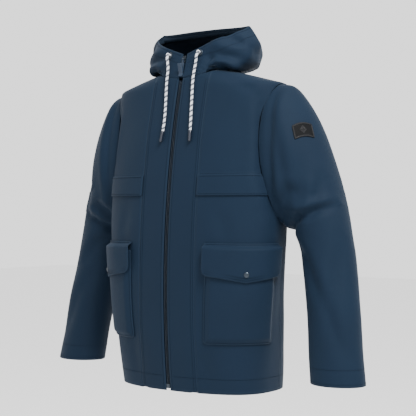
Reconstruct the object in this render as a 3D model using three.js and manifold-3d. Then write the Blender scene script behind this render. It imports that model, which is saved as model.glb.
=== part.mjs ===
// A hooded foul weather jacket, shaped as it hangs on a body: zip front, front and back yokes,
// two flapped patch pockets, set-in sleeves and a standing hood with a drawcord.
// Millimetres, +Z up, the front faces -Y and the wearer's left is +X.
// The origin is between the two points where the shoulder seams meet the neck.
import * as THREE from "three";
import { mergeVertices } from "three/addons/utils/BufferGeometryUtils.js";
import Module from "manifold-3d";

const wasm = await Module();
wasm.setup();

// ---- Driving dimensions ----
const FABRIC = 2.4; // outer fabric with its backing
const LINING = 1.5;
const SEAM_GAP = 0.3; // between pieces that are sewn edge to edge
const CUT_GAP = 0.4; // round a piece that another is trimmed to
const LAYER_GAP = 0.6; // between two layers of cloth that touch
const LINING_EASE = 1.6; // further gap where a lining hangs loose behind the shell

const BODY_LENGTH = 755; // neck point down to the hem
const CHEST_HALF = 237;
const HEM_HALF = 205;
const HIP_HALF = 218;
const SECTION_POWER = 2.5; // of the rounded-box outline of the body
const NECK_HALF = 85;
const SHOULDER_DROP = 40; // neck point down to the shoulder tip
const SHOULDER_HALF = 234;
const FRONT_ARC = { radius: 2100, y: 1965.2, z: -520 }; // the zip line, seen from the side

const STRIP_HALF = 82; // zip centre to the seam of the centre-front strip
const ZIP_HALF_GAP = 6.5; // zip centre to the folded edge of the strip
const YOKE_EDGE = 300; // below the neck point
const YOKE_SEAM = 250;
const BACK_YOKE_EDGE = 262;
const BACK_YOKE_SEAM = 216;
const YOKE_LIFT = 3.3; // the loose lower hem of a yoke stands this far out
const SIDE_SEAM = THREE.MathUtils.degToRad(100);
const SHOULDER_SEAM = THREE.MathUtils.degToRad(88);
const HEM_FACING = 34;

const ARMPIT = 364; // below the neck point
const SLEEVE_LENGTH = 720; // neck point down to the cuff
const CUFF_FACING = 30;
const BADGE = { psi: -0.62, t: 0.235, width: 50, height: 33, tilt: 0.1 };

const POCKET = { from: 23.4, to: 87, height: 209, above_hem: 116, depth: 7, seat: 1.1 };
const FLAP = { from: 22.2, to: 89.2, top: 345, side: 58, corner: 74, tip: 87 };
const POCKET_CLOTH = FABRIC - 0.2;
const FLAP_FACE = 12; // inner face of the hanging flap, out from the body
const SNAP = { cap: 6, shank: 1.6, socket: 5.4, recess: 2.6, stud: 2.2, below_top: 69 };

const COIL = { from: 0.9, to: 3, bottom: -2.8, top: -0.8 };
const TAPE = { from: 1.6, to: 20, bottom: -3.9, top: -3.1 };
const ZIP_TOP = 30;
const ZIP_FOOT = 15; // hem up to the end of the chain
const SLIDER = { half: 5, length: 12, plate: 1.6, z: 23, pin_out: 3.3, pin: 0.5 };
const PULL = { eye: 1.7, clearance: 0.3, half: 5.5, length: 42, thickness: 2.2, out: 1.6 };

const RIM = { half: 132, y: 22, z: 103, front: 38 };
const TUNNEL = { width: 24, edge: 2, step: 4 };
const CORD = 6.4; // drawcord diameter
const CORD_SIDES = 8;
const EYELET = { hole: 3.9, barrel: 5, flange: 7.4, lip: 1.2, below_rim: 14.5, turn: 21 };
const TIP = { radius: 3.5, length: 20, gap: 0.3 };

// ---- Numbers and curves ----
const radians = THREE.MathUtils.degToRad;
const lerp = THREE.MathUtils.lerp;
const vec = (x, y, z) => new THREE.Vector3(x, y, z);
const smooth = (low, high, x) => THREE.MathUtils.smoothstep(x, low, high);
const spread = (n, from, to) => Array.from({ length: n + 1 }, (_, i) => lerp(from, to, i / n));

// Turns a share of the way through a list into the value there.
const levels = (rows) => (v) => {
  const i = Math.min(Math.floor(v * (rows.length - 1) + 1e-9), rows.length - 2);
  return lerp(rows[i], rows[i + 1], v * (rows.length - 1) - i);
};

// A smooth curve through stations of [place, value], with the slope of its neighbours at each.
function through(stations) {
  const slope = (i) => {
    const a = stations[Math.max(i - 1, 0)];
    const b = stations[Math.min(i + 1, stations.length - 1)];
    return (b[1] - a[1]) / (b[0] - a[0]);
  };
  return (x) => {
    let i = 0;
    while (i < stations.length - 2 && x > stations[i + 1][0]) i += 1;
    const [x0, y0] = stations[i];
    const [x1, y1] = stations[i + 1];
    const width = x1 - x0;
    const t = (x - x0) / width;
    if (t < 0) return y0 + slope(i) * (x - x0);
    if (t > 1) return y1 + slope(i + 1) * (x - x1);
    const h = t * t * (3 - 2 * t);
    const rise = slope(i) * width * t * (1 - t) * (1 - t);
    const fall = slope(i + 1) * width * t * t * (t - 1);
    return y0 + (y1 - y0) * h + rise + fall;
  };
}

// ---- Body shape: rounded-box sections stacked from hem to neck ----
const HEM = -BODY_LENGTH;
const halfBelow = through([
  [HEM, HEM_HALF],
  [HEM + 115, HIP_HALF],
  [-424, CHEST_HALF],
  [-ARMPIT, CHEST_HALF + 3],
  [-240, CHEST_HALF],
  [-140, CHEST_HALF - 2],
  [-56, CHEST_HALF - 1],
  [-SHOULDER_DROP, SHOULDER_HALF],
]);
const middle = through([[HEM, 5], [HEM + 115, -5], [-424, -15], [-ARMPIT, -15], [-240, -8], [-140, 0], [0, 8]]);
const back = through([[HEM, 147], [HEM + 115, 133], [-424, 107], [-240, 108], [-140, 106], [-60, 92], [0, 78]]);
const front = (z) => FRONT_ARC.y - Math.sqrt(FRONT_ARC.radius ** 2 - (z - FRONT_ARC.z) ** 2);
const frontSlope = (z) => Math.asin((z - FRONT_ARC.z) / FRONT_ARC.radius);

function half(z) {
  if (z < -SHOULDER_DROP) return halfBelow(z);
  return lerp(SHOULDER_HALF, NECK_HALF, (z + SHOULDER_DROP) / SHOULDER_DROP);
}

// phi is 0 at the zip and 180 degrees at the middle of the back, towards the wearer's left.
function bodyPoint(phi, z) {
  const power = 2 / SECTION_POWER;
  const s = Math.sin(phi);
  const c = Math.cos(phi);
  const depth = c > 0 ? middle(z) - front(z) : back(z) - middle(z);
  const x = half(z) * Math.sign(s) * Math.abs(s) ** power;
  return vec(x, middle(z) - depth * Math.sign(c) * Math.abs(c) ** power, z);
}

function phiAt(x, z) {
  return Math.asin(Math.min(1, Math.abs(x) / half(z)) ** (SECTION_POWER / 2));
}

// The height of the neck seam where the body is x wide, lowest under the chin.
const NECK_SIDE = -1;
const neckWide = half(NECK_SIDE);
function neckHeight(theta) {
  return NECK_SIDE - 19 * Math.max(0, Math.cos(theta)) ** 1.5;
}
const neckHeightAt = (x) => neckHeight(Math.asin(Math.min(1, x / neckWide)));

// ---- Hood shape: a fan of curves from the neck seam to the rim ----
// Near the zip the hood stands straight up from its seam; from there round it billows out.
const hoodLoose = (theta) => smooth(radians(25), radians(80), theta);

function neckPoint(theta) {
  const wide = theta < Math.PI / 2 ? lerp(ZIP_HALF_GAP, neckWide, Math.sin(theta)) : neckWide * Math.sin(theta);
  const z = neckHeight(theta);
  const phi = phiAt(wide, z);
  const seam = bodyPoint(theta < Math.PI / 2 ? phi : Math.PI - phi, z);
  seam.z += 0.5 + (FABRIC + LAYER_GAP) * hoodLoose(theta);
  return seam;
}

const CORNER = radians(100); // where the rim turns from the side edge to the straight top edge
function rimPoint(theta) {
  if (theta > CORNER) {
    const across = (theta - CORNER) / (Math.PI - CORNER);
    return vec(RIM.half * (1 - across), RIM.y, RIM.z);
  }
  const t = theta / CORNER;
  const turn = (t * Math.PI) / 2;
  return vec(
    lerp(ZIP_HALF_GAP, RIM.half, Math.sin(turn)),
    lerp(front(RIM.front), RIM.y, 1 - Math.cos(turn)),
    lerp(RIM.front, RIM.z, t),
  );
}

function hoodControls(theta) {
  const low = neckPoint(theta);
  const rim = rimPoint(theta);
  const s = Math.sin(theta);
  const c = Math.cos(theta);
  const loose = hoodLoose(theta);
  const bulgeLow = vec(165 * s, 12 - (c < 0 ? 163 : 90) * c, -14);
  const bulgeHigh = vec(165 * s, 12 - (c < 0 ? 158 : 85) * c, 55 + 40 * Math.max(0, -c));
  const first = low.clone().lerp(rim, 1 / 3).lerp(bulgeLow, loose);
  const second = low.clone().lerp(rim, 2 / 3).lerp(bulgeHigh, loose);
  return [low, first, second, rim];
}

function hoodPoint(theta, v) {
  const [a, b, c, d] = hoodControls(theta);
  return new THREE.CubicBezierCurve3(a, b, c, d).getPoint(v);
}

// The place on a hood curve that is so many millimetres below the rim.
function belowRim(theta, distance) {
  const [, , second, rim] = hoodControls(theta);
  return 1 - distance / (3 * second.distanceTo(rim));
}

// ---- Sleeve shape: sections that turn from the armhole's plane to the cuff's ----
// Each has its place along the sleeve, its outer and inner edge as x out from the shoulder
// and z, its half depth and the middle of its depth.
const SLEEVE_STATIONS = [
  { t: -0.1, outer: [-36, -54], inner: [-36, -350], deep: 60, y: 4 },
  { t: 0, outer: [1, -43], inner: [6, -ARMPIT + 2], deep: 68, y: 4 },
  { t: 0.1, outer: [36, -56], inner: [10, -ARMPIT - 2], deep: 75, y: 10 },
  { t: 0.2, outer: [71, -108], inner: [15, -ARMPIT - 6], deep: 79, y: 19 },
  { t: 0.32, outer: [103, -188], inner: [21, -ARMPIT - 12], deep: 79, y: 30 },
  { t: 0.46, outer: [134, -290], inner: [31, -ARMPIT - 24], deep: 73, y: 37 },
  { t: 0.6, outer: [162, -400], inner: [46, -430], deep: 61, y: 34 },
  { t: 0.74, outer: [182, -500], inner: [62, -505], deep: 54, y: 24 },
  { t: 0.87, outer: [199, -610], inner: [77, -612], deep: 51, y: 11 },
  { t: 1, outer: [216, -SLEEVE_LENGTH], inner: [90, -SLEEVE_LENGTH], deep: 50, y: -2 },
];
const sleeveCurve = (pick) => through(SLEEVE_STATIONS.map((s) => [s.t, pick(s)]));
const sleeveOuterX = sleeveCurve((s) => SHOULDER_HALF + s.outer[0]);
const sleeveOuterZ = sleeveCurve((s) => s.outer[1]);
const sleeveInnerX = sleeveCurve((s) => SHOULDER_HALF + s.inner[0]);
const sleeveInnerZ = sleeveCurve((s) => s.inner[1]);
const sleeveDeep = sleeveCurve((s) => s.deep);
const sleeveY = sleeveCurve((s) => s.y);

// psi is 0 along the outside of the arm, 90 degrees at the back and 180 under the arm.
function sleevePoint(psi, t) {
  const outer = vec(sleeveOuterX(t), sleeveY(t), sleeveOuterZ(t));
  const inner = vec(sleeveInnerX(t), sleeveY(t), sleeveInnerZ(t));
  const p = inner.lerp(outer, (1 + Math.cos(psi)) / 2);
  p.y += sleeveDeep(t) * Math.sin(psi);
  return p;
}

// ---- Solids from surfaces ----
function normalAt(surface, u, v) {
  const h = 1e-3;
  const du = surface(u + h, v).sub(surface(u - h, v));
  const dv = surface(u, v + h).sub(surface(u, v - h));
  return du.cross(dv).normalize();
}

// A surface moved out along its normal; the sign says which way the normal of (u, v) points.
const outFrom = (surface, sign) => (u, v, distance) =>
  surface(u, v).addScaledVector(normalAt(surface, u, v), sign * distance);
const bodyOut = outFrom(bodyPoint, 1);
const hoodOut = outFrom(hoodPoint, 1);
const sleeveOut = outFrom(sleevePoint, -1);

function meshOf(points, faces) {
  const geometry = new THREE.BufferGeometry();
  geometry.setAttribute("position", new THREE.Float32BufferAttribute(points.flatMap((p) => p.toArray()), 3));
  geometry.setIndex(faces.flat());
  return facingOut(mergeVertices(geometry, 1e-4));
}

function facingOut(geometry) {
  const p = geometry.getAttribute("position");
  const index = geometry.getIndex().array;
  const corner = (i) => vec(0, 0, 0).fromBufferAttribute(p, index[i]);
  let volume = 0;
  for (let i = 0; i < index.length; i += 3) {
    volume += corner(i).dot(corner(i + 1).cross(corner(i + 2)));
  }
  if (volume < 0) {
    for (let i = 0; i < index.length; i += 3) [index[i + 1], index[i + 2]] = [index[i + 2], index[i + 1]];
  }
  return geometry;
}

// A sheet of cloth with two faces: at(column, row, 1) is the outer face and at(column, row, 0) the inner.
function sheet(cols, rows, at, closed = false) {
  const points = [];
  for (const side of [1, 0]) {
    for (let j = 0; j <= rows; j += 1) {
      for (let i = 0; i <= cols; i += 1) points.push(at(i / cols, j / rows, side));
    }
  }
  const wide = cols + 1;
  const layer = wide * (rows + 1);
  const id = (i, j, side) => (side ? 0 : layer) + j * wide + (closed && i === cols ? 0 : i);
  const faces = [];
  const quad = (a, b, c, d) => faces.push([a, b, c], [a, c, d]);
  for (let j = 0; j < rows; j += 1) {
    for (let i = 0; i < cols; i += 1) {
      quad(id(i, j, 1), id(i + 1, j, 1), id(i + 1, j + 1, 1), id(i, j + 1, 1));
      quad(id(i, j, 0), id(i, j + 1, 0), id(i + 1, j + 1, 0), id(i + 1, j, 0));
    }
  }
  for (let i = 0; i < cols; i += 1) {
    quad(id(i, 0, 1), id(i, 0, 0), id(i + 1, 0, 0), id(i + 1, 0, 1));
    quad(id(i, rows, 1), id(i + 1, rows, 1), id(i + 1, rows, 0), id(i, rows, 0));
  }
  for (let j = 0; j < rows && !closed; j += 1) {
    quad(id(0, j, 1), id(0, j + 1, 1), id(0, j + 1, 0), id(0, j, 0));
    quad(id(cols, j, 1), id(cols, j, 0), id(cols, j + 1, 0), id(cols, j + 1, 1));
  }
  return meshOf(points, faces);
}

// A filled tube: rings of points with a flat cap at each end.
function plug(cols, rows, at) {
  const points = [];
  for (let j = 0; j <= rows; j += 1) {
    for (let i = 0; i < cols; i += 1) points.push(at(i / cols, j / rows));
  }
  const faces = [];
  const id = (i, j) => j * cols + (i % cols);
  for (let j = 0; j < rows; j += 1) {
    for (let i = 0; i < cols; i += 1) {
      faces.push([id(i, j), id(i + 1, j), id(i + 1, j + 1)], [id(i, j), id(i + 1, j + 1), id(i, j + 1)]);
    }
  }
  for (const [j, order] of [[0, -1], [rows, 1]]) {
    const ring = points.slice(j * cols, (j + 1) * cols);
    const centre = ring.reduce((sum, p) => sum.add(p), vec(0, 0, 0)).divideScalar(cols);
    points.push(centre);
    const c = points.length - 1;
    for (let i = 0; i < cols; i += 1) faces.push(order > 0 ? [id(i, j), id(i + 1, j), c] : [id(i + 1, j), id(i, j), c]);
  }
  return meshOf(points, faces);
}

// ---- Joining and cutting ----
function solid(source) {
  const geometry = source.clone();
  for (const name of Object.keys(geometry.attributes)) {
    if (name !== "position") geometry.deleteAttribute(name);
  }
  const merged = mergeVertices(geometry, 1e-4);
  return new wasm.Manifold(new wasm.Mesh({
    numProp: 3,
    vertProperties: new Float32Array(merged.getAttribute("position").array),
    triVerts: new Uint32Array(merged.getIndex().array),
  }));
}

function geometryOf(manifold) {
  const mesh = manifold.getMesh();
  const geometry = new THREE.BufferGeometry();
  geometry.setAttribute("position", new THREE.BufferAttribute(new Float32Array(mesh.vertProperties), 3));
  geometry.setIndex(new THREE.BufferAttribute(new Uint32Array(mesh.triVerts), 1));
  return geometry;
}

const without = (geometry, ...cutters) =>
  geometryOf(cutters.reduce((left, cutter) => left.subtract(cutter), solid(geometry)));
const joined = (...geometries) => geometryOf(geometries.map(solid).reduce((all, next) => all.add(next)));

// A trimmed piece keeps only its largest body, so that no crumb of cloth is left beside it.
function largest(geometry) {
  const bodies = solid(geometry).decompose();
  return geometryOf(bodies.reduce((best, next) => (next.volume() > best.volume() ? next : best)));
}

function mirrored(geometry) {
  return facingOut(geometry.clone().scale(-1, 1, 1));
}

function box(x, y, z, cx = 0, cy = 0, cz = 0) {
  return new THREE.BoxGeometry(x, y, z).translate(cx, cy, cz);
}

// ---- The whole jacket ----
const jacket = new THREE.Group();
const FINISH = {
  shell: { color: 0x2b3f58, roughness: 0.62, metalness: 0 },
  lining: { color: 0x1c2634, roughness: 0.7, metalness: 0 },
  tape: { color: 0x17212e, roughness: 0.75, metalness: 0 },
  coil: { color: 0x1b2836, roughness: 0.45, metalness: 0 },
  metal: { color: 0x23303d, roughness: 0.4, metalness: 0.7 },
  pull: { color: 0x223349, roughness: 0.55, metalness: 0 },
  cord: { color: 0xd5d8dc, roughness: 0.8, metalness: 0 },
  tip: { color: 0x141c2a, roughness: 0.5, metalness: 0 },
  badge: { color: 0x0e0f11, roughness: 0.55, metalness: 0 },
};

function add(name, finish, geometry) {
  const mesh = new THREE.Mesh(geometry, new THREE.MeshStandardMaterial(FINISH[finish]));
  mesh.name = name;
  jacket.add(mesh);
  return mesh;
}

function addPair(name, finish, geometry) {
  add(`${name}_left`, finish, geometry);
  add(`${name}_right`, finish, mirrored(geometry));
}

// ---- What the body panels and sleeves are trimmed to ----
const turn = 2 * Math.PI;
const SLEEVE_SIDES = 20;
const SLEEVE_ROWS = [-0.08, 0.02, 0.1, 0.2, 0.32, 0.43, 0.54, 0.68, 0.84, 1];
const sleeveRow = levels(SLEEVE_ROWS);
const sleeveFilling = plug(SLEEVE_SIDES, SLEEVE_ROWS.length - 1, (u, v) =>
  sleeveOut(u * turn, sleeveRow(v), CUT_GAP));
const sleeveFilled = solid(sleeveFilling);
const sleeveFilledRight = solid(mirrored(sleeveFilling));
const bodyFilled = solid(plug(48, 24, (u, v) => bodyOut(u * turn, lerp(HEM + 20, NECK_SIDE, v), CUT_GAP)));

// ---- Body panels ----
// How far out a yoke stands: its lower hem hangs loose over the panel below.
const yokeLift = (z, seam) => YOKE_LIFT * (1 - smooth(-seam - 6, -seam, z));
const BODY_ROWS = spread(14, HEM, -60);

function frontStrip() {
  const row = levels([...BODY_ROWS, -SHOULDER_DROP, -22, 0]);
  return sheet(5, BODY_ROWS.length + 2, (u, v, side) => {
    const x = lerp(ZIP_HALF_GAP, STRIP_HALF - SEAM_GAP, u);
    const z = Math.min(row(v), neckHeightAt(x) - SEAM_GAP - (v < 1 ? 0.6 : 0));
    return bodyOut(phiAt(x, z), z, side ? 0 : -FABRIC);
  });
}

function sideFront() {
  const rows = levels([...BODY_ROWS.filter((z) => z < -YOKE_SEAM - 15), -YOKE_SEAM - 9]);
  return sheet(10, 10, (u, v, side) => {
    const z = rows(v);
    const phi = lerp(phiAt(STRIP_HALF + SEAM_GAP / 2, z), SIDE_SEAM, u);
    return bodyOut(phi, z, side ? 0 : -FABRIC);
  });
}

function frontYoke() {
  const rows = levels([-YOKE_EDGE, -YOKE_SEAM - 8, -YOKE_SEAM, -200, -150, -100, -60, -SHOULDER_DROP, -22, 0]);
  return sheet(9, 9, (u, v, side) => {
    const z = Math.min(rows(v), lerp(neckHeightAt(STRIP_HALF), NECK_SIDE, u) - SEAM_GAP);
    const from = phiAt(STRIP_HALF + SEAM_GAP / 2, z);
    const phi = lerp(from, SHOULDER_SEAM - 0.003, u);
    return bodyOut(phi, z, yokeLift(z, YOKE_SEAM) + (side ? 0 : -FABRIC));
  });
}

function backPanel() {
  const rows = levels(spread(9, HEM, -BACK_YOKE_SEAM - 9));
  const from = SIDE_SEAM + 0.007;
  return sheet(18, 9, (u, v, side) => bodyOut(lerp(from, turn - from, u), rows(v), side ? 0 : -FABRIC));
}

function backYoke() {
  const rows = levels([
    -BACK_YOKE_EDGE, -BACK_YOKE_SEAM - 8, -BACK_YOKE_SEAM, -150, -100, -60, -SHOULDER_DROP, -22, NECK_SIDE - SEAM_GAP,
  ]);
  const from = SHOULDER_SEAM + 0.003;
  return sheet(18, 8, (u, v, side) => {
    const z = rows(v);
    return bodyOut(lerp(from, turn - from, u), z, yokeLift(z, BACK_YOKE_SEAM) + (side ? 0 : -FABRIC));
  });
}

const lined = -(FABRIC + LAYER_GAP);
function bodyLining() {
  const rows = levels([HEM + HEM_FACING + 1, -600, -480, -ARMPIT, -300, -210, -120, -75, -SHOULDER_DROP - 6]);
  return sheet(13, 8, (u, v, side) => {
    const z = rows(v);
    const phi = lerp(phiAt(STRIP_HALF - 32, z), BACK_MIDDLE, u);
    const ease = LINING_EASE * smooth(0, 0.12, u);
    return bodyOut(phi, z, lined - ease - (side ? 0 : LINING));
  });
}

function hemFacing() {
  const phi = phiAt(STRIP_HALF - 36, HEM);
  return sheet(36, 1, (u, v, side) =>
    bodyOut(lerp(phi, turn - phi, u), lerp(HEM + 0.2, HEM + HEM_FACING, v),
      lined - 0.3 - (side ? 0 : LINING)));
}

function addBody() {
  const armholes = [sleeveFilled, sleeveFilledRight];
  addPair("front_strip", "shell", frontStrip());
  addPair("side_front", "shell", largest(without(sideFront(), sleeveFilled)));
  addPair("front_yoke", "shell", largest(without(frontYoke(), sleeveFilled)));
  add("back_panel", "shell", largest(without(backPanel(), ...armholes)));
  add("back_yoke", "shell", largest(without(backYoke(), ...armholes)));
  addPair("body_lining", "lining", largest(without(bodyLining(), sleeveFilled)));
  add("hem_facing", "lining", hemFacing());
}

// ---- Sleeves ----
function sleeve() {
  const tube = sheet(SLEEVE_SIDES, SLEEVE_ROWS.length - 1, (u, v, side) =>
    sleeveOut(u * turn, sleeveRow(v), side ? 0 : -FABRIC), true);
  return largest(without(tube, bodyFilled));
}

function cuffFacing() {
  const from = 1 - CUFF_FACING / (SLEEVE_LENGTH - ARMPIT) * 0.46;
  return sheet(SLEEVE_SIDES, 1, (u, v, side) =>
    sleeveOut(u * turn, lerp(from, 0.9995, v), lined - (side ? 0 : LINING)), true);
}

// The place on the sleeve straight under a point near it, by a few steps along the surface.
function ontoSleeve(target, psi, t) {
  const h = 1e-3;
  for (let step = 0; step < 12; step += 1) {
    const p = sleevePoint(psi, t);
    const miss = target.clone().sub(p);
    const du = sleevePoint(psi + h, t).sub(p).divideScalar(h);
    const dv = sleevePoint(psi, t + h).sub(p).divideScalar(h);
    const [uu, uv, vv] = [du.dot(du), du.dot(dv), dv.dot(dv)];
    const [ru, rv] = [miss.dot(du), miss.dot(dv)];
    const det = uu * vv - uv * uv;
    psi += (ru * vv - rv * uv) / det;
    t += (rv * uu - ru * uv) / det;
  }
  return [psi, t];
}

// A flat rectangle wrapped on the sleeve, with its long side level.
function sleeveBadge() {
  const { psi, t, width, height, tilt } = BADGE;
  const centre = sleevePoint(psi, t);
  const out = normalAt(sleevePoint, psi, t).negate();
  const along = vec(0, 0, 1).cross(out).normalize().applyAxisAngle(out, tilt);
  const up = out.clone().cross(along);
  return sheet(5, 3, (u, v, side) => {
    const target = centre.clone().addScaledVector(along, (u - 0.5) * width).addScaledVector(up, (v - 0.5) * height);
    return sleeveOut(...ontoSleeve(target, psi, t), side ? 1.7 : 0.45);
  });
}

function addSleeves() {
  addPair("sleeve", "shell", sleeve());
  addPair("cuff_facing", "lining", cuffFacing());
  add("sleeve_badge", "badge", sleeveBadge());
}

// ---- Hood ----
const CENTRE_SEAM = radians(140);
const BACK_MIDDLE = Math.PI - 0.003;
const hoodColumns = (from, to) => {
  const inside = spread(18, 0, Math.PI).filter((t) => t > from + 0.04 && t < to - 0.04);
  return levels([from, ...inside, to]);
};
const hoodRow = (theta, row) =>
  row <= 6 ? (belowRim(theta, TUNNEL.width) * row) / 6 : belowRim(theta, (TUNNEL.width * (8 - row)) / 2);

function hoodSide() {
  const column = hoodColumns(0, CENTRE_SEAM - 0.004);
  return sheet(14, 8, (u, v, side) => hoodOut(column(u), hoodRow(column(u), v * 8), side ? 0 : -FABRIC));
}

function hoodCentre() {
  return sheet(8, 8, (u, v, side) => {
    const across = Math.abs(2 * u - 1);
    const theta = Math.min(lerp(Math.PI, CENTRE_SEAM + 0.004, across), Math.PI - 1e-3);
    const p = hoodOut(theta, hoodRow(theta, v * 8), side ? 0 : -FABRIC);
    if (u > 0.5) p.x = -p.x;
    if (across < 1e-6) p.x = 0;
    return p;
  });
}

function hoodLining() {
  const column = hoodColumns(radians(16), BACK_MIDDLE);
  const columns = 17;
  return sheet(columns, 6, (u, v, side) => {
    const theta = column(u);
    const rimward = belowRim(theta, TUNNEL.width + 4);
    const ease = LINING_EASE * smooth(-0.15, 0.15, u);
    return hoodOut(theta, lerp(0.03, rimward, v), lined - ease - (side ? 0 : LINING));
  });
}

// The drawcord's tunnel: a band inside the rim that stands off the hood by the cord's thickness.
const TUNNEL_SLACK = 3;
const TUNNEL_DEPTH = FABRIC + LAYER_GAP + CORD + 2 * LAYER_GAP + TUNNEL_SLACK;
function hoodTunnel() {
  const { width, edge, step } = TUNNEL;
  const places = [width, width - edge, width - step, step, edge, 1];
  const depths = [-lined, -lined, TUNNEL_DEPTH, TUNNEL_DEPTH, -lined, -lined];
  const column = hoodColumns(radians(12), BACK_MIDDLE);
  return sheet(18, 5, (u, v, side) => {
    const k = Math.round(v * 5);
    return hoodOut(column(u), belowRim(column(u), places[k]), -depths[k] - SEAM_GAP - (side ? 0 : LINING));
  });
}

function eyeletFrame() {
  const theta = radians(EYELET.turn);
  const v = belowRim(theta, EYELET.below_rim);
  return { at: hoodOut(theta, v, -FABRIC / 2), out: normalAt(hoodPoint, theta, v) };
}

const EYELET_REACH = FABRIC / 2 + CUT_GAP;
const eyeletMouth = EYELET_REACH + EYELET.lip;

function placedOn(geometry, at, out) {
  const spin = new THREE.Quaternion().setFromUnitVectors(vec(0, 1, 0), out);
  return geometry.clone().applyQuaternion(spin).translate(at.x, at.y, at.z);
}

function eyelet() {
  const { hole, barrel, flange, lip } = EYELET;
  const reach = EYELET_REACH;
  return lathe([
    [hole, -reach - lip / 2], [hole, reach + lip], [flange - 1, reach + lip], [flange, reach + lip / 2],
    [flange, reach], [barrel - SEAM_GAP, reach], [barrel - SEAM_GAP, -reach], [flange - 1, -reach],
    [flange - 1, -reach - lip / 2], [hole, -reach - lip / 2],
  ], 14);
}

function lathe(profile, sides) {
  const points = profile.map(([r, y]) => new THREE.Vector2(r, y));
  const geometry = new THREE.LatheGeometry(points, sides);
  for (const name of ["normal", "uv"]) geometry.deleteAttribute(name);
  return facingOut(mergeVertices(geometry, 1e-4));
}

function tubeAlong(points, radius, sides, steps) {
  const curve = new THREE.CatmullRomCurve3(points, false, "centripetal");
  const section = new THREE.Shape(Array.from({ length: sides }, (_, i) =>
    new THREE.Vector2(radius * Math.cos((i * turn) / sides), radius * Math.sin((i * turn) / sides))));
  return new THREE.ExtrudeGeometry(section, { steps, bevelEnabled: false, extrudePath: curve });
}

// The free ends of the drawcord, from just outside the eyelet down the chest to the tip.
const CORD_ROUTE_LEFT = [
  [45.6, -70.8, 34.3], [45.2, -72.8, 29],
  [44.4, -73.3, 21], [42.8, -74.2, 8], [41.5, -77.4, -8], [41.6, -81.7, -26], [43, -85.8, -46], [45, -90, -66],
  [47, -94.2, -86], [49, -98.3, -106], [50.8, -102.2, -126], [52, -105, -141], [52.8, -107.3, -154],
];
const CORD_ROUTE_RIGHT = [
  [-44.6, -70.8, 34.3], [-43.4, -72.8, 29],
  [-41.9, -73.3, 21], [-39.6, -74.2, 8], [-38.2, -77.4, -8], [-37.2, -81.8, -26], [-35.2, -86, -46],
  [-32.8, -90.4, -66], [-30.6, -94.7, -86], [-28.8, -98.8, -106], [-28.2, -102.7, -126], [-29, -105.4, -141],
  [-30, -107.7, -153],
];

// The upper end is round, about the point the cord swings from, so that it turns freely in the mouth.
function cordEnd(route, side) {
  const { at, out } = eyeletFrame();
  const swing = at.clone().addScaledVector(out, eyeletMouth + SEAM_GAP + CORD / 2);
  const next = swing.clone().addScaledVector(out, CORD * 0.7);
  for (const p of [swing, next]) p.x *= side;
  const tube = tubeAlong([swing, next, ...route.map((p) => vec(...p))], CORD / 2, CORD_SIDES, 24);
  const ball = new THREE.SphereGeometry(CORD / 2 - 0.05, CORD_SIDES, 6).translate(swing.x, swing.y, swing.z);
  return joined(tube, ball);
}

function cordTip(route) {
  const end = vec(...route[route.length - 1]);
  const way = end.clone().sub(vec(...route[route.length - 2])).normalize();
  const r = TIP.radius;
  const profile = [[0, 0], [r - 0.6, 0], [r, 1], [r, TIP.length - 2], [r - 1, TIP.length], [0, TIP.length]];
  return placedOn(lathe(profile, 12), end.addScaledVector(way, TIP.gap), way);
}

// From the mouth of one eyelet, under the rim, to the mouth of the other.
function hiddenCord(radius) {
  const { at, out } = eyeletFrame();
  const inward = [eyeletMouth, -0.5, -3.4, -5.6].map((distance) => at.clone().addScaledVector(out, distance));
  const depth = -(FABRIC + 2 * LAYER_GAP + CORD / 2);
  const underRim = [34, 45, 58, 72, 84, 93, 100, 107, 118, 132, 150, 170].map((degrees) =>
    hoodOut(radians(degrees), belowRim(radians(degrees), TUNNEL.width / 2), depth));
  const halfWay = [...inward, ...underRim];
  const otherHalf = halfWay.slice().reverse().map((p) => vec(-p.x, p.y, p.z));
  return tubeAlong([...halfWay, ...otherHalf], radius, CORD_SIDES, 52);
}

function addHood() {
  const { at, out } = eyeletFrame();
  const hole = solid(placedOn(lathe([[0, -9], [EYELET.barrel, -9], [EYELET.barrel, 9], [0, 9]], 16), at, out));
  const wideHole = solid(placedOn(
    lathe([[0, -16], [EYELET.flange, -16], [EYELET.flange, -1], [0, -1]], 16), at, out));
  addPair("hood_side", "shell", without(hoodSide(), hole));
  add("hood_centre", "shell", hoodCentre());
  addPair("hood_lining", "lining", hoodLining());
  addPair("hood_tunnel", "lining", without(hoodTunnel(), wideHole));
  addPair("cord_eyelet", "metal", placedOn(eyelet(), at, out));
  add("drawcord_inside", "cord", hiddenCord(CORD / 2 - 0.4));
  add("drawcord_left", "cord", cordEnd(CORD_ROUTE_LEFT, 1));
  add("drawcord_right", "cord", cordEnd(CORD_ROUTE_RIGHT, -1));
  add("cord_tip_left", "tip", cordTip(CORD_ROUTE_LEFT));
  add("cord_tip_right", "tip", cordTip(CORD_ROUTE_RIGHT));
}

// ---- Zip ----
// A strip that follows the zip line between two distances from its centre and two depths.
function zipStrip(from, to, bottom, top, low, high) {
  const zs = [low, ...BODY_ROWS.filter((z) => z > low + 5), -20, high];
  const rows = levels(zs);
  return sheet(1, zs.length - 1, (u, v, side) => {
    const z = rows(v);
    const slope = frontSlope(z);
    const out = side ? top : bottom;
    return vec(lerp(from, to, u), front(z) - out * Math.cos(slope), z + out * Math.sin(slope));
  });
}

function stormFlap() {
  const edges = [-16, 22, 27, 40];
  const depths = [8.4, 8.4, -lined + 0.2, -lined + 0.2];
  const zs = [HEM + 4, ...BODY_ROWS.slice(1), -24];
  const rows = levels(zs);
  return sheet(3, zs.length - 1, (u, v, side) => {
    const k = Math.round(u * 3);
    const z = rows(v);
    const phi = Math.sign(edges[k]) * phiAt(edges[k], z);
    return bodyOut(phi, z, -depths[k] - (side ? 0 : LINING));
  });
}

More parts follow.
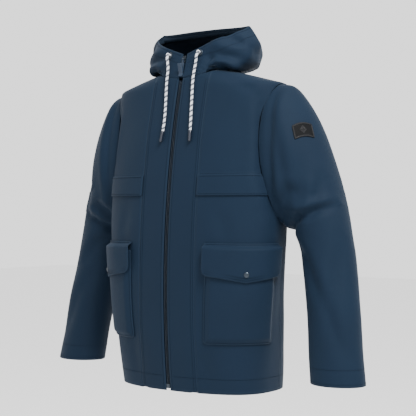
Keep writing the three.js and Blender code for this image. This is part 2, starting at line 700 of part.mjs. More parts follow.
// On the zip line at height z: local +Z runs up the zip and local -Y points away from the body.
function onZip(geometry, z) {
  return geometry.rotateX(-frontSlope(z)).translate(0, front(z), z);
}

function slider() {
  const { half: w, length, plate, pin_out: out, pin } = SLIDER;
  const above = -COIL.top - 0.4;
  const below = -TAPE.bottom + 0.5;
  const top = box(2 * w, plate, length, 0, above - plate / 2, 0);
  const bottom = box(2 * w, plate, length, 0, below + plate / 2, 0);
  const post = box(0.9, below - above + 1, 3, 0, (below + above) / 2, length / 2 - 1.5);
  const flange = (side) => box(0.8, -TAPE.top - above, length, side * (w - 0.4), (above - TAPE.top) / 2 - 0.2, 0);
  const ear = (side) => box(1, out + 1.2, 3.4, side * 3, -(out + 1.2) / 2 + 0.2, 1);
  const bar = new THREE.CylinderGeometry(pin, pin, 6.4, 10).rotateZ(Math.PI / 2).translate(0, -out, 1);
  return onZip(joined(top, bottom, post, flange(1), flange(-1), ear(1), ear(-1), bar), SLIDER.z);
}

function pull() {
  const { eye, clearance, half: w, length, thickness, out } = PULL;
  const bore = SLIDER.pin + clearance;
  const eyeY = -SLIDER.pin_out;
  const disc = new THREE.CylinderGeometry(eye, eye, 3.8, 16).rotateZ(Math.PI / 2).translate(0, eyeY, 1);
  const hole = new THREE.CylinderGeometry(bore, bore, 9, 16).rotateZ(Math.PI / 2).translate(0, eyeY, 1);
  const link = box(3.8, 1.4, 8, 0, -out - thickness / 2, -4.2);
  const outline = new THREE.Shape();
  const r = 2.2;
  outline.moveTo(-w + r, -length).lineTo(w - r, -length).quadraticCurveTo(w, -length, w, -length + r);
  outline.lineTo(w, -8 - r).quadraticCurveTo(w, -8, w - r, -8).lineTo(-w + r, -8);
  outline.quadraticCurveTo(-w, -8, -w, -8 - r).lineTo(-w, -length + r).quadraticCurveTo(-w, -length, -w + r, -length);
  const tab = new THREE.ExtrudeGeometry(outline, { depth: thickness, bevelEnabled: false, curveSegments: 3 });
  tab.applyMatrix4(
    new THREE.Matrix4().makeBasis(vec(1, 0, 0), vec(0, 0, 1), vec(0, -1, 0)).setPosition(0, -out, 0));
  return onZip(geometryOf(solid(joined(disc, link, tab)).subtract(solid(hole))), SLIDER.z);
}

function addZip() {
  const foot = HEM + ZIP_FOOT;
  addPair("zip_tape", "tape", zipStrip(TAPE.from, TAPE.to, TAPE.bottom, TAPE.top, foot, ZIP_TOP + 4));
  addPair("zip_coil", "coil", zipStrip(COIL.from, COIL.to, COIL.bottom, COIL.top, foot, ZIP_TOP));
  const stop = box(2.6, 2.4, 3, 2.3, 1.6, 0);
  addPair("zip_top_stop", "metal", onZip(stop, ZIP_TOP + 2));
  add("zip_bottom_box", "metal", onZip(box(9, 4.6, 10, 0, 2.3, 0), foot - 5.4));
  add("zip_slider", "metal", slider());
  add("zip_pull", "pull", pull());
  add("storm_flap", "lining", stormFlap());
}

// ---- Pockets ----
const POCKET_FOOT = HEM + POCKET.above_hem;
const FLAP_TOP = HEM + FLAP.top;
const edgeRamp = (t, margin) => smooth(0, margin, Math.min(t, 1 - t));

function pocketOut(u, v) {
  const sides = edgeRamp(u, 0.09);
  const foot = smooth(0, 0.09, v);
  return lerp(POCKET.seat, POCKET.depth, Math.min(sides, foot));
}

function pocket() {
  const columns = levels([0, 0.04, 0.09, 0.22, 0.36, 0.5, 0.64, 0.78, 0.91, 0.96, 1]);
  const rows = levels([0, 0.04, 0.09, 0.3, 0.55, 0.78, 1]);
  return sheet(10, 6, (uRaw, vRaw, side) => {
    const u = columns(uRaw);
    const v = rows(vRaw);
    const z = lerp(POCKET_FOOT, POCKET_FOOT + POCKET.height, v);
    return bodyOut(radians(lerp(POCKET.from, POCKET.to, u)), z, pocketOut(u, v) + (side ? POCKET_CLOTH : 0));
  });
}

// The flap's lower edge: short sides, rounded corners, and a shallow point in the middle.
function flapFoot(u) {
  const fromEdge = Math.min(u, 1 - u);
  if (fromEdge < 0.08) return lerp(FLAP.side, FLAP.corner, Math.sqrt(1 - (1 - fromEdge / 0.08) ** 2));
  return lerp(FLAP.corner, FLAP.tip, (fromEdge - 0.08) / 0.42);
}

function flap() {
  const columns = levels([0, 0.025, 0.08, 0.2, 0.35, 0.5, 0.65, 0.8, 0.92, 0.975, 1]);
  return sheet(10, 5, (uRaw, vRaw, side) => {
    const u = columns(uRaw);
    const v = levels([0, 0.08, 0.16, 0.45, 0.72, 1])(vRaw);
    const z = FLAP_TOP - v * flapFoot(u);
    const out = lerp(POCKET.seat, FLAP_FACE, smooth(0.04, 0.16, v));
    return bodyOut(radians(lerp(FLAP.from, FLAP.to, u)), z, out + (side ? POCKET_CLOTH : 0));
  });
}

function snapFrame(out) {
  const phi = radians((FLAP.from + FLAP.to) / 2);
  const z = FLAP_TOP - SNAP.below_top;
  return { at: bodyOut(phi, z, out), out: normalAt(bodyPoint, phi, z) };
}

function snapCap() {
  const inside = -0.9;
  const outside = FABRIC - 0.2 + 0.5;
  const { cap, shank, socket, recess } = SNAP;
  return lathe([
    [0, inside - 0.2], [recess, inside - 0.2], [recess, inside - 1], [socket, inside - 1], [socket, inside],
    [shank, inside], [shank, outside], [cap, outside], [cap, outside + 0.7], [cap - 1.6, outside + 1.7],
    [0, outside + 2.1],
  ], 14);
}

function snapStud() {
  const face = POCKET.depth + POCKET_CLOTH - FLAP_FACE;
  const base = face - FABRIC - 1.1;
  return lathe([
    [0, base], [4.6, base], [4.6, base + 0.5], [1.3, base + 0.5], [1.3, face + 0.3],
    [SNAP.stud, face + 0.3], [SNAP.stud, -1.5], [0, -1.4],
  ], 12);
}

function addPockets() {
  const { at, out } = snapFrame(FLAP_FACE);
  const drill = (r) => solid(placedOn(lathe([[0, -30], [r, -30], [r, 30], [0, 30]], 18), at, out));
  addPair("pocket", "shell", without(pocket(), drill(1.3 + SEAM_GAP)));
  addPair("pocket_flap", "shell", without(flap(), drill(SNAP.shank + SEAM_GAP)));
  addPair("snap_cap", "metal", placedOn(snapCap(), at, out));
  addPair("snap_stud", "metal", placedOn(snapStud(), at, out));
}

// ---- Hanging loop and label, inside the back of the neck ----
const LOOP = { half: 30, gap: 9, thick: 2, tall: 8, z: -30 };
function hangerLoop() {
  const wall = back(LOOP.z + LOOP.tall / 2) - FABRIC - 2 * LAYER_GAP;
  const strap = box(2 * LOOP.half, LOOP.thick, LOOP.tall, 0, wall - LOOP.gap - LOOP.thick / 2, LOOP.z);
  const foot = (side) =>
    box(LOOP.tall, LOOP.gap + LOOP.thick, LOOP.tall, side * (LOOP.half - LOOP.tall / 2), wall - (LOOP.gap + LOOP.thick) / 2, LOOP.z);
  return joined(strap, foot(1), foot(-1));
}

function neckLabel() {
  const z = -78;
  return sheet(3, 2, (u, v, side) =>
    bodyOut(lerp(radians(175.7), radians(184.3), u), lerp(z, z + 26, v), lined - LINING_EASE - LINING - (side ? 0.7 : 1.5)));
}

addBody();
addSleeves();
addHood();
addZip();
addPockets();
add("hanger_loop", "tape", hangerLoop());
add("neck_label", "tape", neckLabel());

export default jacket;
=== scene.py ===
"""A hooded foul weather jacket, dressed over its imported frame.

The pattern is written in millimetres, +Z up, with the front facing -Y and the wearer's
left at +X. Every mesh is made in metres, in the frame's own axes.
"""

import logging
import math
from dataclasses import dataclass, field
from enum import Enum
from typing import Callable, Optional, Sequence

import bpy
import numpy as np
from mathutils import Matrix, Vector


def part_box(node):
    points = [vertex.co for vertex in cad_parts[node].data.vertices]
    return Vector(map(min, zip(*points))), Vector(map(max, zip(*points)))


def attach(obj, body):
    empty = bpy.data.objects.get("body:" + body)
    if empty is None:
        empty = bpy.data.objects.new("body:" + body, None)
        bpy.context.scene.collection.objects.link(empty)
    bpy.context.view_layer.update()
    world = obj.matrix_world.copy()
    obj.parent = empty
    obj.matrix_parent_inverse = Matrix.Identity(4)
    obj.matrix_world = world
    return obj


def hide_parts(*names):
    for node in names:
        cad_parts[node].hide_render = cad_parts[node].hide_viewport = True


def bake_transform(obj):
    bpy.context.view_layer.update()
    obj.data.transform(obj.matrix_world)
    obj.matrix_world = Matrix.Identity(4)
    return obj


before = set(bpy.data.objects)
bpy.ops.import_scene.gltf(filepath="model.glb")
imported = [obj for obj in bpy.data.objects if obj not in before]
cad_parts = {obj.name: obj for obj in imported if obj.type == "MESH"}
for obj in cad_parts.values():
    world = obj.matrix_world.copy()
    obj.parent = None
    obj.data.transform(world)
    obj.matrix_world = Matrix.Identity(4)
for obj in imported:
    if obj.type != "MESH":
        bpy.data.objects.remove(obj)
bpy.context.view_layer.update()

logging.basicConfig(level=logging.INFO, format="%(message)s")
log = logging.getLogger("jacket")

MM = 0.001
TURN = 2 * math.pi
Array = np.ndarray
Point = tuple[float, float, float]
Colour = tuple[float, float, float]
rad = math.radians

FABRIC = 2.4
LINING = 1.5
LINED = 3.0
LINING_EASE = 1.6
SEAM_GAP = 0.3
TRIM_GAP = 0.2


class Side(Enum):
    """The wearer's left or right."""

    LEFT = 1
    RIGHT = -1

    @property
    def word(self) -> str:
        """The word that ends a piece's name on this side."""
        return self.name.lower()


# ---- Studio: camera first ----


@dataclass(frozen=True)
class Studio:
    """Camera, soft light and a pale floor. Lengths are metres.

    Args:
        azimuth: where the camera stands, in degrees round from the front.
        distance: camera to the jacket's own upright axis.
        aside: camera moved to its right.
        height: camera height in the jacket's frame.
        lens: focal length on a 36 mm sensor.
    """

    azimuth: float = 37.0
    distance: float = 2.8
    aside: float = 0.0194
    height: float = -0.329
    lens: float = 100.0
    floor: float = -1.5

    def camera(self) -> bpy.types.Object:
        """Makes the camera that the scene is seen through.

        Returns:
            The camera object.
        """
        a = rad(self.azimuth)
        back = Vector((math.sin(a), -math.cos(a), 0))
        right = Vector((math.cos(a), math.sin(a), 0))
        data = bpy.data.cameras.new("camera")
        data.lens = self.lens
        data.sensor_width = 36
        data.clip_end = 50
        camera = bpy.data.objects.new("camera", data)
        camera.location = back * self.distance + right * self.aside + Vector((0, 0, self.height))
        camera.rotation_mode = "QUATERNION"
        camera.rotation_quaternion = (-back).to_track_quat("-Z", "Y")
        bpy.context.scene.collection.objects.link(camera)
        bpy.context.scene.camera = camera
        return camera

    def lamp(self, name: str, place: Point, size: float, power: float) -> None:
        """Hangs one square soft light that faces the jacket's chest.

        Args:
            name: the lamp's name.
            place: where it hangs, in metres.
            size: its side.
            power: its power in watts.
        """
        data = bpy.data.lights.new(name, "AREA")
        data.size = size
        data.energy = power
        lamp = bpy.data.objects.new(name, data)
        lamp.location = place
        lamp.rotation_mode = "QUATERNION"
        lamp.rotation_quaternion = (Vector((0, 0, -0.3)) - Vector(place)).to_track_quat("-Z", "Y")
        bpy.context.scene.collection.objects.link(lamp)

    def light(self) -> None:
        """Lights the studio: a white surround, a high key light and a weak fill."""
        world = bpy.data.worlds.new("surround")
        world.use_nodes = True
        background = world.node_tree.nodes["Background"]
        background.inputs["Color"].default_value = (1, 1, 1, 1)
        background.inputs["Strength"].default_value = 1.7
        bpy.context.scene.world = world
        self.lamp("key", (2.2, -1.2, 2.4), 1.2, 330)
        self.lamp("fill", (0.9, -3.0, 0.4), 2.0, 40)

    def ground(self) -> None:
        """Lays the pale floor."""
        bpy.ops.object.select_all(action="DESELECT")
        bpy.ops.mesh.primitive_plane_add(size=30, location=(0, 0, self.floor))
        floor = bpy.context.object
        floor.name = "floor"
        paint = bpy.data.materials.new("floor_paint")
        paint.use_nodes = True
        shader = paint.node_tree.nodes["Principled BSDF"]
        shader.inputs["Base Color"].default_value = (0.9, 0.9, 0.9, 1)
        shader.inputs["Roughness"].default_value = 0.9
        floor.data.materials.append(paint)


# ---- Curves ----


class Through:
    """A smooth curve through stations of (place, value), with its neighbours' slope at each."""

    def __init__(self, stations: Sequence[tuple[float, float]]) -> None:
        """Keeps the stations and works out the slope at each."""
        self.x, self.y = np.array(stations, float).T
        last = len(self.x) - 1
        low = [max(i - 1, 0) for i in range(last + 1)]
        high = [min(i + 1, last) for i in range(last + 1)]
        self.slope = (self.y[high] - self.y[low]) / (self.x[high] - self.x[low])

    def __call__(self, x: Array) -> Array:
        """The curve's value at each place, straight on beyond its ends."""
        x = np.asarray(x, float)
        i = np.clip(np.searchsorted(self.x, x, side="left") - 1, 0, len(self.x) - 2)
        x0, x1, y0, y1 = self.x[i], self.x[i + 1], self.y[i], self.y[i + 1]
        m0, m1, width = self.slope[i], self.slope[i + 1], x1 - x0
        t = (x - x0) / width
        inside = (
            y0 + (y1 - y0) * t * t * (3 - 2 * t)
            + m0 * width * t * (1 - t) ** 2
            + m1 * width * t * t * (t - 1)
        )
        return np.where(t < 0, y0 + m0 * (x - x0), np.where(t > 1, y1 + m1 * (x - x1), inside))


def smooth(low: float, high: float, x: Array) -> Array:
    """0 below low, 1 above high and an S-curve between them."""
    t = np.clip((np.asarray(x, float) - low) / (high - low), 0, 1)
    return t * t * (3 - 2 * t)


def mixed(a: Array, b: Array, share: Array) -> Array:
    """The value that share of the way from a to b."""
    return a + (b - a) * share


def along(*stops: tuple[float, int]) -> Array:
    """Places between stops, so many steps up to each.

    Args:
        stops: (place, steps since the last stop); the first stop's steps don't count.

    Returns:
        All the places, the stops included.
    """
    places = [np.array([stops[0][0]], float)]
    for (start, _), (end, steps) in zip(stops, stops[1:]):
        places.append(np.linspace(start, end, steps + 1)[1:])
    return np.concatenate(places)


def grid(u: Array, v: Array) -> tuple[Array, Array]:
    """Both parameters at every crossing of the columns u and the rows v."""
    return np.meshgrid(u, v)


# ---- Folds ----


@dataclass(frozen=True)
class Crease:
    """A soft fold pressed into cloth along a line of points.

    Args:
        line: the points it follows, in millimetres.
        width: from its bottom to where it has mostly faded.
        depth: how deep it is; below 0 it is a ridge.
        roll: height of the roll of cloth beside it.
        roll_side: the direction in which that roll lies.
    """

    line: tuple[Point, ...]
    width: float
    depth: float
    roll: float = 0.0
    roll_side: Point = (0.0, 0.0, 1.0)

    def relief(self, points: Array) -> Array:
        """How far each point is moved out along its normal.

        Args:
            points: places on the cloth, of any array shape that ends in 3.

        Returns:
            Millimetres out, below 0 where the cloth is pressed in.
        """
        flat = points.reshape(-1, 3)
        line = np.array(self.line, float)
        nearest = np.full(len(flat), 1e9)
        across = np.zeros(len(flat))
        way = np.zeros(len(flat))
        side = np.array(self.roll_side, float)
        side /= np.linalg.norm(side)
        lengths = np.linalg.norm(np.diff(line, axis=0), axis=1)
        starts = np.concatenate([[0], np.cumsum(lengths)])
        for k, (a, b) in enumerate(zip(line, line[1:])):
            t = np.clip(((flat - a) @ (b - a)) / lengths[k] ** 2, 0, 1)
            offset = flat - (a + t[:, None] * (b - a))
            distance = np.linalg.norm(offset, axis=1)
            closer = distance < nearest
            nearest[closer] = distance[closer]
            across[closer] = (offset @ side)[closer]
            way[closer] = ((starts[k] + t * lengths[k]) / starts[-1])[closer]
        fade = np.sqrt(np.clip(np.sin(math.pi * np.clip(way, 0.02, 0.98)), 0, 1))
        shape = -self.depth * np.exp(-((nearest / self.width) ** 2))
        beside = np.where(across > 0, nearest, 3 * self.width)
        shape += self.roll * np.exp(-(((beside - 1.5 * self.width) / (1.1 * self.width)) ** 2))
        return (shape * fade).reshape(points.shape[:-1])


class Surface:
    """A surface of two parameters, with its folds. Distances out are along its normal."""

    sign = 1.0

    def __init__(self) -> None:
        """Starts with no folds."""
        self.folds: list[Crease] = []
        self.right_folds: list[Crease] = []
        self.side = Side.LEFT

    def point(self, u: Array, v: Array) -> Array:
        """The places on the plain surface, without folds."""
        raise NotImplementedError

    def swell(self, points: Array) -> Array:
        """The slow waves of the cloth, as millimetres out."""
        x, y, z = points[..., 0], points[..., 1], points[..., 2]
        wave = np.sin(x / 31 + 1.3 * np.sin(z / 67)) * np.sin(y / 37 + z / 89)
        return 0.9 * wave + 0.5 * np.sin(z / 23 + x / 41) * np.sin(y / 29 - x / 53)

    def normal(self, u: Array, v: Array) -> Array:
        """The direction out of the surface at each place."""
        h = 1e-3
        du = self.point(u + h, v) - self.point(u - h, v)
        dv = self.point(u, v + h) - self.point(u, v - h)
        n = np.cross(du, dv) * self.sign
        return n / np.maximum(np.linalg.norm(n, axis=-1, keepdims=True), 1e-12)

    def out(self, u: Array, v: Array, distance: Array = 0.0) -> tuple[Array, Array]:
        """Places at a distance out from the folded surface, and the directions out there.

        Args:
            u: the first parameter.
            v: the second parameter.
            distance: millimetres out.

        Returns:
            The places and the normals.
        """
        u, v = np.broadcast_arrays(np.asarray(u, float), np.asarray(v, float))
        p = self.point(u, v)
        n = self.normal(u, v)
        near = p * np.where(p[..., :1] < 0, (-1, 1, 1), (1, 1, 1))
        left = (p[..., 0] >= 0) & (self.side is Side.LEFT)
        lift = distance + self.swell(near)
        lift = lift + np.where(left, sum(c.relief(near) for c in self.folds),
                               sum(c.relief(near) for c in self.right_folds))
        return p + n * lift[..., None], n


# ---- The three forms that all the cloth follows ----


class BodyForm(Surface):
    """Rounded-box sections from hem to neck: phi is 0 at the zip and half a turn at the back."""

    length = 755.0
    chest_half = 237.0
    hem_half = 205.0
    hip_half = 218.0
    armpit = 364.0
    section_power = 2.5
    neck_half = 85.0
    shoulder_drop = 40.0
    shoulder_half = 234.0
    arc_radius = 2100.0
    arc_y = 1965.2
    arc_z = -520.0
    neck_side = -1.0
    zip_half_gap = 6.5

    def __init__(self) -> None:
        """Draws the curves that the sections follow."""
        super().__init__()
        hem = -self.length
        self.half_below = Through([
            (hem, self.hem_half), (hem + 115, self.hip_half), (-424, self.chest_half),
            (-self.armpit, self.chest_half + 3), (-240, self.chest_half), (-140, self.chest_half - 2),
            (-56, self.chest_half - 1), (-self.shoulder_drop, self.shoulder_half),
        ])
        self.middle = Through([
            (hem, 5), (hem + 115, -5), (-424, -15), (-self.armpit, -15), (-240, -8), (-140, 0), (0, 8),
        ])
        self.back = Through([
            (hem, 147), (hem + 115, 133), (-424, 107), (-240, 108), (-140, 106), (-60, 92), (0, 78),
        ])

    def front(self, z: Array) -> Array:
        """How far forward the zip line is."""
        return self.arc_y - np.sqrt(self.arc_radius**2 - (np.asarray(z, float) - self.arc_z) ** 2)

    def front_slope(self, z: Array) -> Array:
        """How far the zip line leans back from upright, in radians."""
        return np.arcsin((np.asarray(z, float) - self.arc_z) / self.arc_radius)

    def half(self, z: Array) -> Array:
        """Half the body's width."""
        drop = self.shoulder_drop
        slope = mixed(self.shoulder_half, self.neck_half, (z + drop) / drop)
        return np.where(z < -drop, self.half_below(z), slope)

    def point(self, u: Array, v: Array) -> Array:
        """The place at angle u and height v."""
        power = 2 / self.section_power
        s, c = np.sin(u), np.cos(u)
        mid = self.middle(v)
        depth = np.where(c > 0, mid - self.front(v), self.back(v) - mid)
        x = self.half(v) * np.sign(s) * np.abs(s) ** power
        return np.stack([x, mid - depth * np.sign(c) * np.abs(c) ** power, v + 0 * x], axis=-1)

    def swell(self, points: Array) -> Array:
        """The slow waves of the cloth, which die out beside the zip."""
        beside = np.where(points[..., 1] < 0, smooth(26, 70, np.abs(points[..., 0])), 1.0)
        return super().swell(points) * beside

    def phi_at(self, x: Array, z: Array) -> Array:
        """The angle at which the front is x from the middle."""
        return np.arcsin(np.minimum(1, np.abs(x) / self.half(z)) ** (self.section_power / 2))

    def neck_height(self, theta: Array) -> Array:
        """The height of the neck seam, lowest under the chin."""
        return self.neck_side - 19 * np.maximum(0, np.cos(theta)) ** 1.5

    def neck_height_at(self, x: Array) -> Array:
        """The height of the neck seam where the body is x from the middle."""
        wide = self.half(np.array(self.neck_side))
        return self.neck_height(np.arcsin(np.minimum(1, x / wide)))

    def level(self, p: Array) -> Array:
        """Above 0 outside the body and below 0 inside it, about in millimetres."""
        x, y, z = p[..., 0], p[..., 1], p[..., 2]
        mid = self.middle(z)
        half = np.maximum(self.half(z), 1)
        depth = np.where(y < mid, mid - self.front(z), self.back(z) - mid)
        power = self.section_power
        size = (np.abs(x / half) ** power + np.abs((y - mid) / depth) ** power) ** (1 / power)
        return (size - 1) * 90


class SleeveForm(Surface):
    """Sections that turn from the armhole's plane to the cuff's: psi is 0 outside the arm,
    a quarter turn at the back and half a turn under the arm; t runs from shoulder to cuff."""

    sign = -1.0
    length = 720.0
    stations = (
        (-0.1, (-36, -54), (-36, -350), 60, 4),
        (0.0, (1, -43), (6, -362), 68, 4),
        (0.1, (36, -56), (10, -366), 75, 10),
        (0.2, (71, -108), (15, -370), 79, 19),
        (0.32, (103, -188), (21, -376), 79, 30),
        (0.46, (134, -290), (31, -388), 73, 37),
        (0.6, (162, -400), (46, -430), 61, 34),
        (0.74, (182, -500), (62, -505), 54, 24),
        (0.87, (199, -610), (77, -612), 51, 11),
        (1.0, (216, -720), (90, -720), 50, -2),
    )

    def __init__(self, shoulder_half: float) -> None:
        """Draws the curves that the sections follow.

        Args:
            shoulder_half: half the body's width at the shoulder.
        """
        super().__init__()
        rows = self.stations
        self.outer_x = Through([(r[0], shoulder_half + r[1][0]) for r in rows])
        self.outer_z = Through([(r[0], r[1][1]) for r in rows])
        self.inner_x = Through([(r[0], shoulder_half + r[2][0]) for r in rows])
        self.inner_z = Through([(r[0], r[2][1]) for r in rows])
        self.deep = Through([(r[0], r[3]) for r in rows])
        self.mid_y = Through([(r[0], r[4]) for r in rows])

    def point(self, u: Array, v: Array) -> Array:
        """The place at angle u round the arm and v along it."""
        share = (1 + np.cos(u)) / 2
        x = mixed(self.inner_x(v), self.outer_x(v), share)
        z = mixed(self.inner_z(v), self.outer_z(v), share)
        return np.stack([x, self.mid_y(v) + self.deep(v) * np.sin(u), z], axis=-1)

    def level(self, p: Array) -> Array:
        """Above 0 outside the sleeve's tube and below 0 inside it, about in millimetres."""
        x, y, z = p[..., 0], p[..., 1], p[..., 2]

        def turned(t: Array) -> Array:
            ix, iz = self.inner_x(t), self.inner_z(t)
            return (x - ix) * (self.outer_z(t) - iz) - (z - iz) * (self.outer_x(t) - ix)

        low = np.full(x.shape, -0.16)
        high = np.full(x.shape, 0.8)
        start = turned(low)
        for _ in range(28):
            middle = (low + high) / 2
            same = np.sign(turned(middle)) == np.sign(start)
            low = np.where(same, middle, low)
            high = np.where(same, high, middle)
        t = (low + high) / 2
        ix, iz = self.inner_x(t), self.inner_z(t)
        wx, wz = self.outer_x(t) - ix, self.outer_z(t) - iz
        share = ((x - ix) * wx + (z - iz) * wz) / (wx * wx + wz * wz)
        radius = np.hypot(2 * share - 1, (y - self.mid_y(t)) / self.deep(t))
        return (radius - 1) * self.deep(t)


class HoodForm(Surface):
    """A fan of curves from the neck seam (v 0) to the rim (v 1): theta is 0 at the zip."""

    rim_half = 132.0
    rim_y = 22.0
    rim_z = 103.0
    rim_front = 38.0
    corner = rad(100)

    def __init__(self, body: BodyForm) -> None:
        """Keeps the body, whose neck the hood is sewn to."""
        super().__init__()
        self.body = body

    def neck(self, theta: Array) -> Array:
        """The neck seam."""
        body = self.body
        wide = float(body.half(np.array(body.neck_side)))
        front = theta < math.pi / 2
        x = np.where(front, mixed(body.zip_half_gap, wide, np.sin(theta)), wide * np.sin(theta))
        z = body.neck_height(theta)
        phi = body.phi_at(x, z)
        seam = body.point(np.where(front, phi, math.pi - phi), z)
        seam[..., 2] += 0.5 + 3.0 * self.loose(theta)
        return seam

    @staticmethod
    def loose(theta: Array) -> Array:
        """How freely the hood billows: not at all beside the zip."""
        return smooth(rad(25), rad(80), theta)

    def rim(self, theta: Array) -> Array:
        """The rim, which turns from its side edge to its straight top edge at the corner."""
        body = self.body
        over = np.clip((theta - self.corner) / (math.pi - self.corner), 0, 1)
        top = np.stack([
            self.rim_half * (1 - over), self.rim_y + 0 * over, self.rim_z + 0 * over,
        ], axis=-1)
        t = theta / self.corner
        turn = t * math.pi / 2
        side = np.stack([
            mixed(body.zip_half_gap, self.rim_half, np.sin(turn)),
            mixed(float(body.front(self.rim_front)), self.rim_y, 1 - np.cos(turn)),
            mixed(self.rim_front, self.rim_z, t),
        ], axis=-1)
        return np.where((theta > self.corner)[..., None], top, side)

    def controls(self, theta: Array) -> tuple[Array, Array, Array, Array]:
        """The four points that each curve is drawn from."""
        low, rim = self.neck(theta), self.rim(theta)
        s, c = np.sin(theta), np.cos(theta)
        loose = self.loose(theta)[..., None]
        behind = c < 0
        bulge_low = np.stack([165 * s, 12 - np.where(behind, 163, 90) * c, -14 + 0 * s], axis=-1)
        bulge_high = np.stack([
            165 * s, 12 - np.where(behind, 158, 85) * c, 55 + 40 * np.maximum(0, -c),
        ], axis=-1)
        first = mixed(mixed(low, rim, 1 / 3), bulge_low, loose)
        second = mixed(mixed(low, rim, 2 / 3), bulge_high, loose)
        return low, first, second, rim

    def point(self, u: Array, v: Array) -> Array:
        """The place on curve u, v of the way to the rim."""
        u, v = np.broadcast_arrays(np.asarray(u, float), np.asarray(v, float))
        beyond = (u > math.pi)[..., None]
        a, b, c, d = self.controls(np.where(u > math.pi, TURN - u, u))
        t = v[..., None]
        k = 1 - t
        p = k**3 * a + 3 * k * k * t * b + 3 * k * t * t * c + t**3 * d
        return p * np.where(beyond, (-1, 1, 1), (1, 1, 1))

    def below_rim(self, theta: Array, distance: float) -> Array:
        """The share of a curve that is so many millimetres below the rim."""
        theta = np.asarray(theta, float)
        _, _, second, rim = self.controls(np.where(theta > math.pi, TURN - theta, theta))
        return 1 - distance / (3 * np.linalg.norm(second - rim, axis=-1))


BODY = BodyForm()
SLEEVE = SleeveForm(BODY.shoulder_half)
HOOD = HoodForm(BODY)


def sleeve_line(*places: tuple[float, float]) -> tuple[Point, ...]:
    """A line on the left sleeve.

    Args:
        places: (degrees round the arm, share along it) of each point.

    Returns:
        The points, in millimetres.
    """
    u, v = np.array(places).T
    return tuple(map(tuple, SLEEVE.point(np.radians(u), v)))


def hood_line(*places: tuple[float, float]) -> tuple[Point, ...]:
    """A line on the hood's left side.

    Args:
        places: (degrees round from the zip, share of the way to the rim) of each point.

    Returns:
        The points, in millimetres.
    """
    u, v = np.array(places).T
    return tuple(map(tuple, HOOD.point(np.radians(u), v)))


def body_line(*places: tuple[float, float]) -> tuple[Point, ...]:
    """A line on the body's left side.

    Args:
        places: (degrees round from the zip, height) of each point.

    Returns:
        The points, in millimetres.
    """
    u, v = np.array(places).T
    return tuple(map(tuple, BODY.point(np.radians(u), v)))


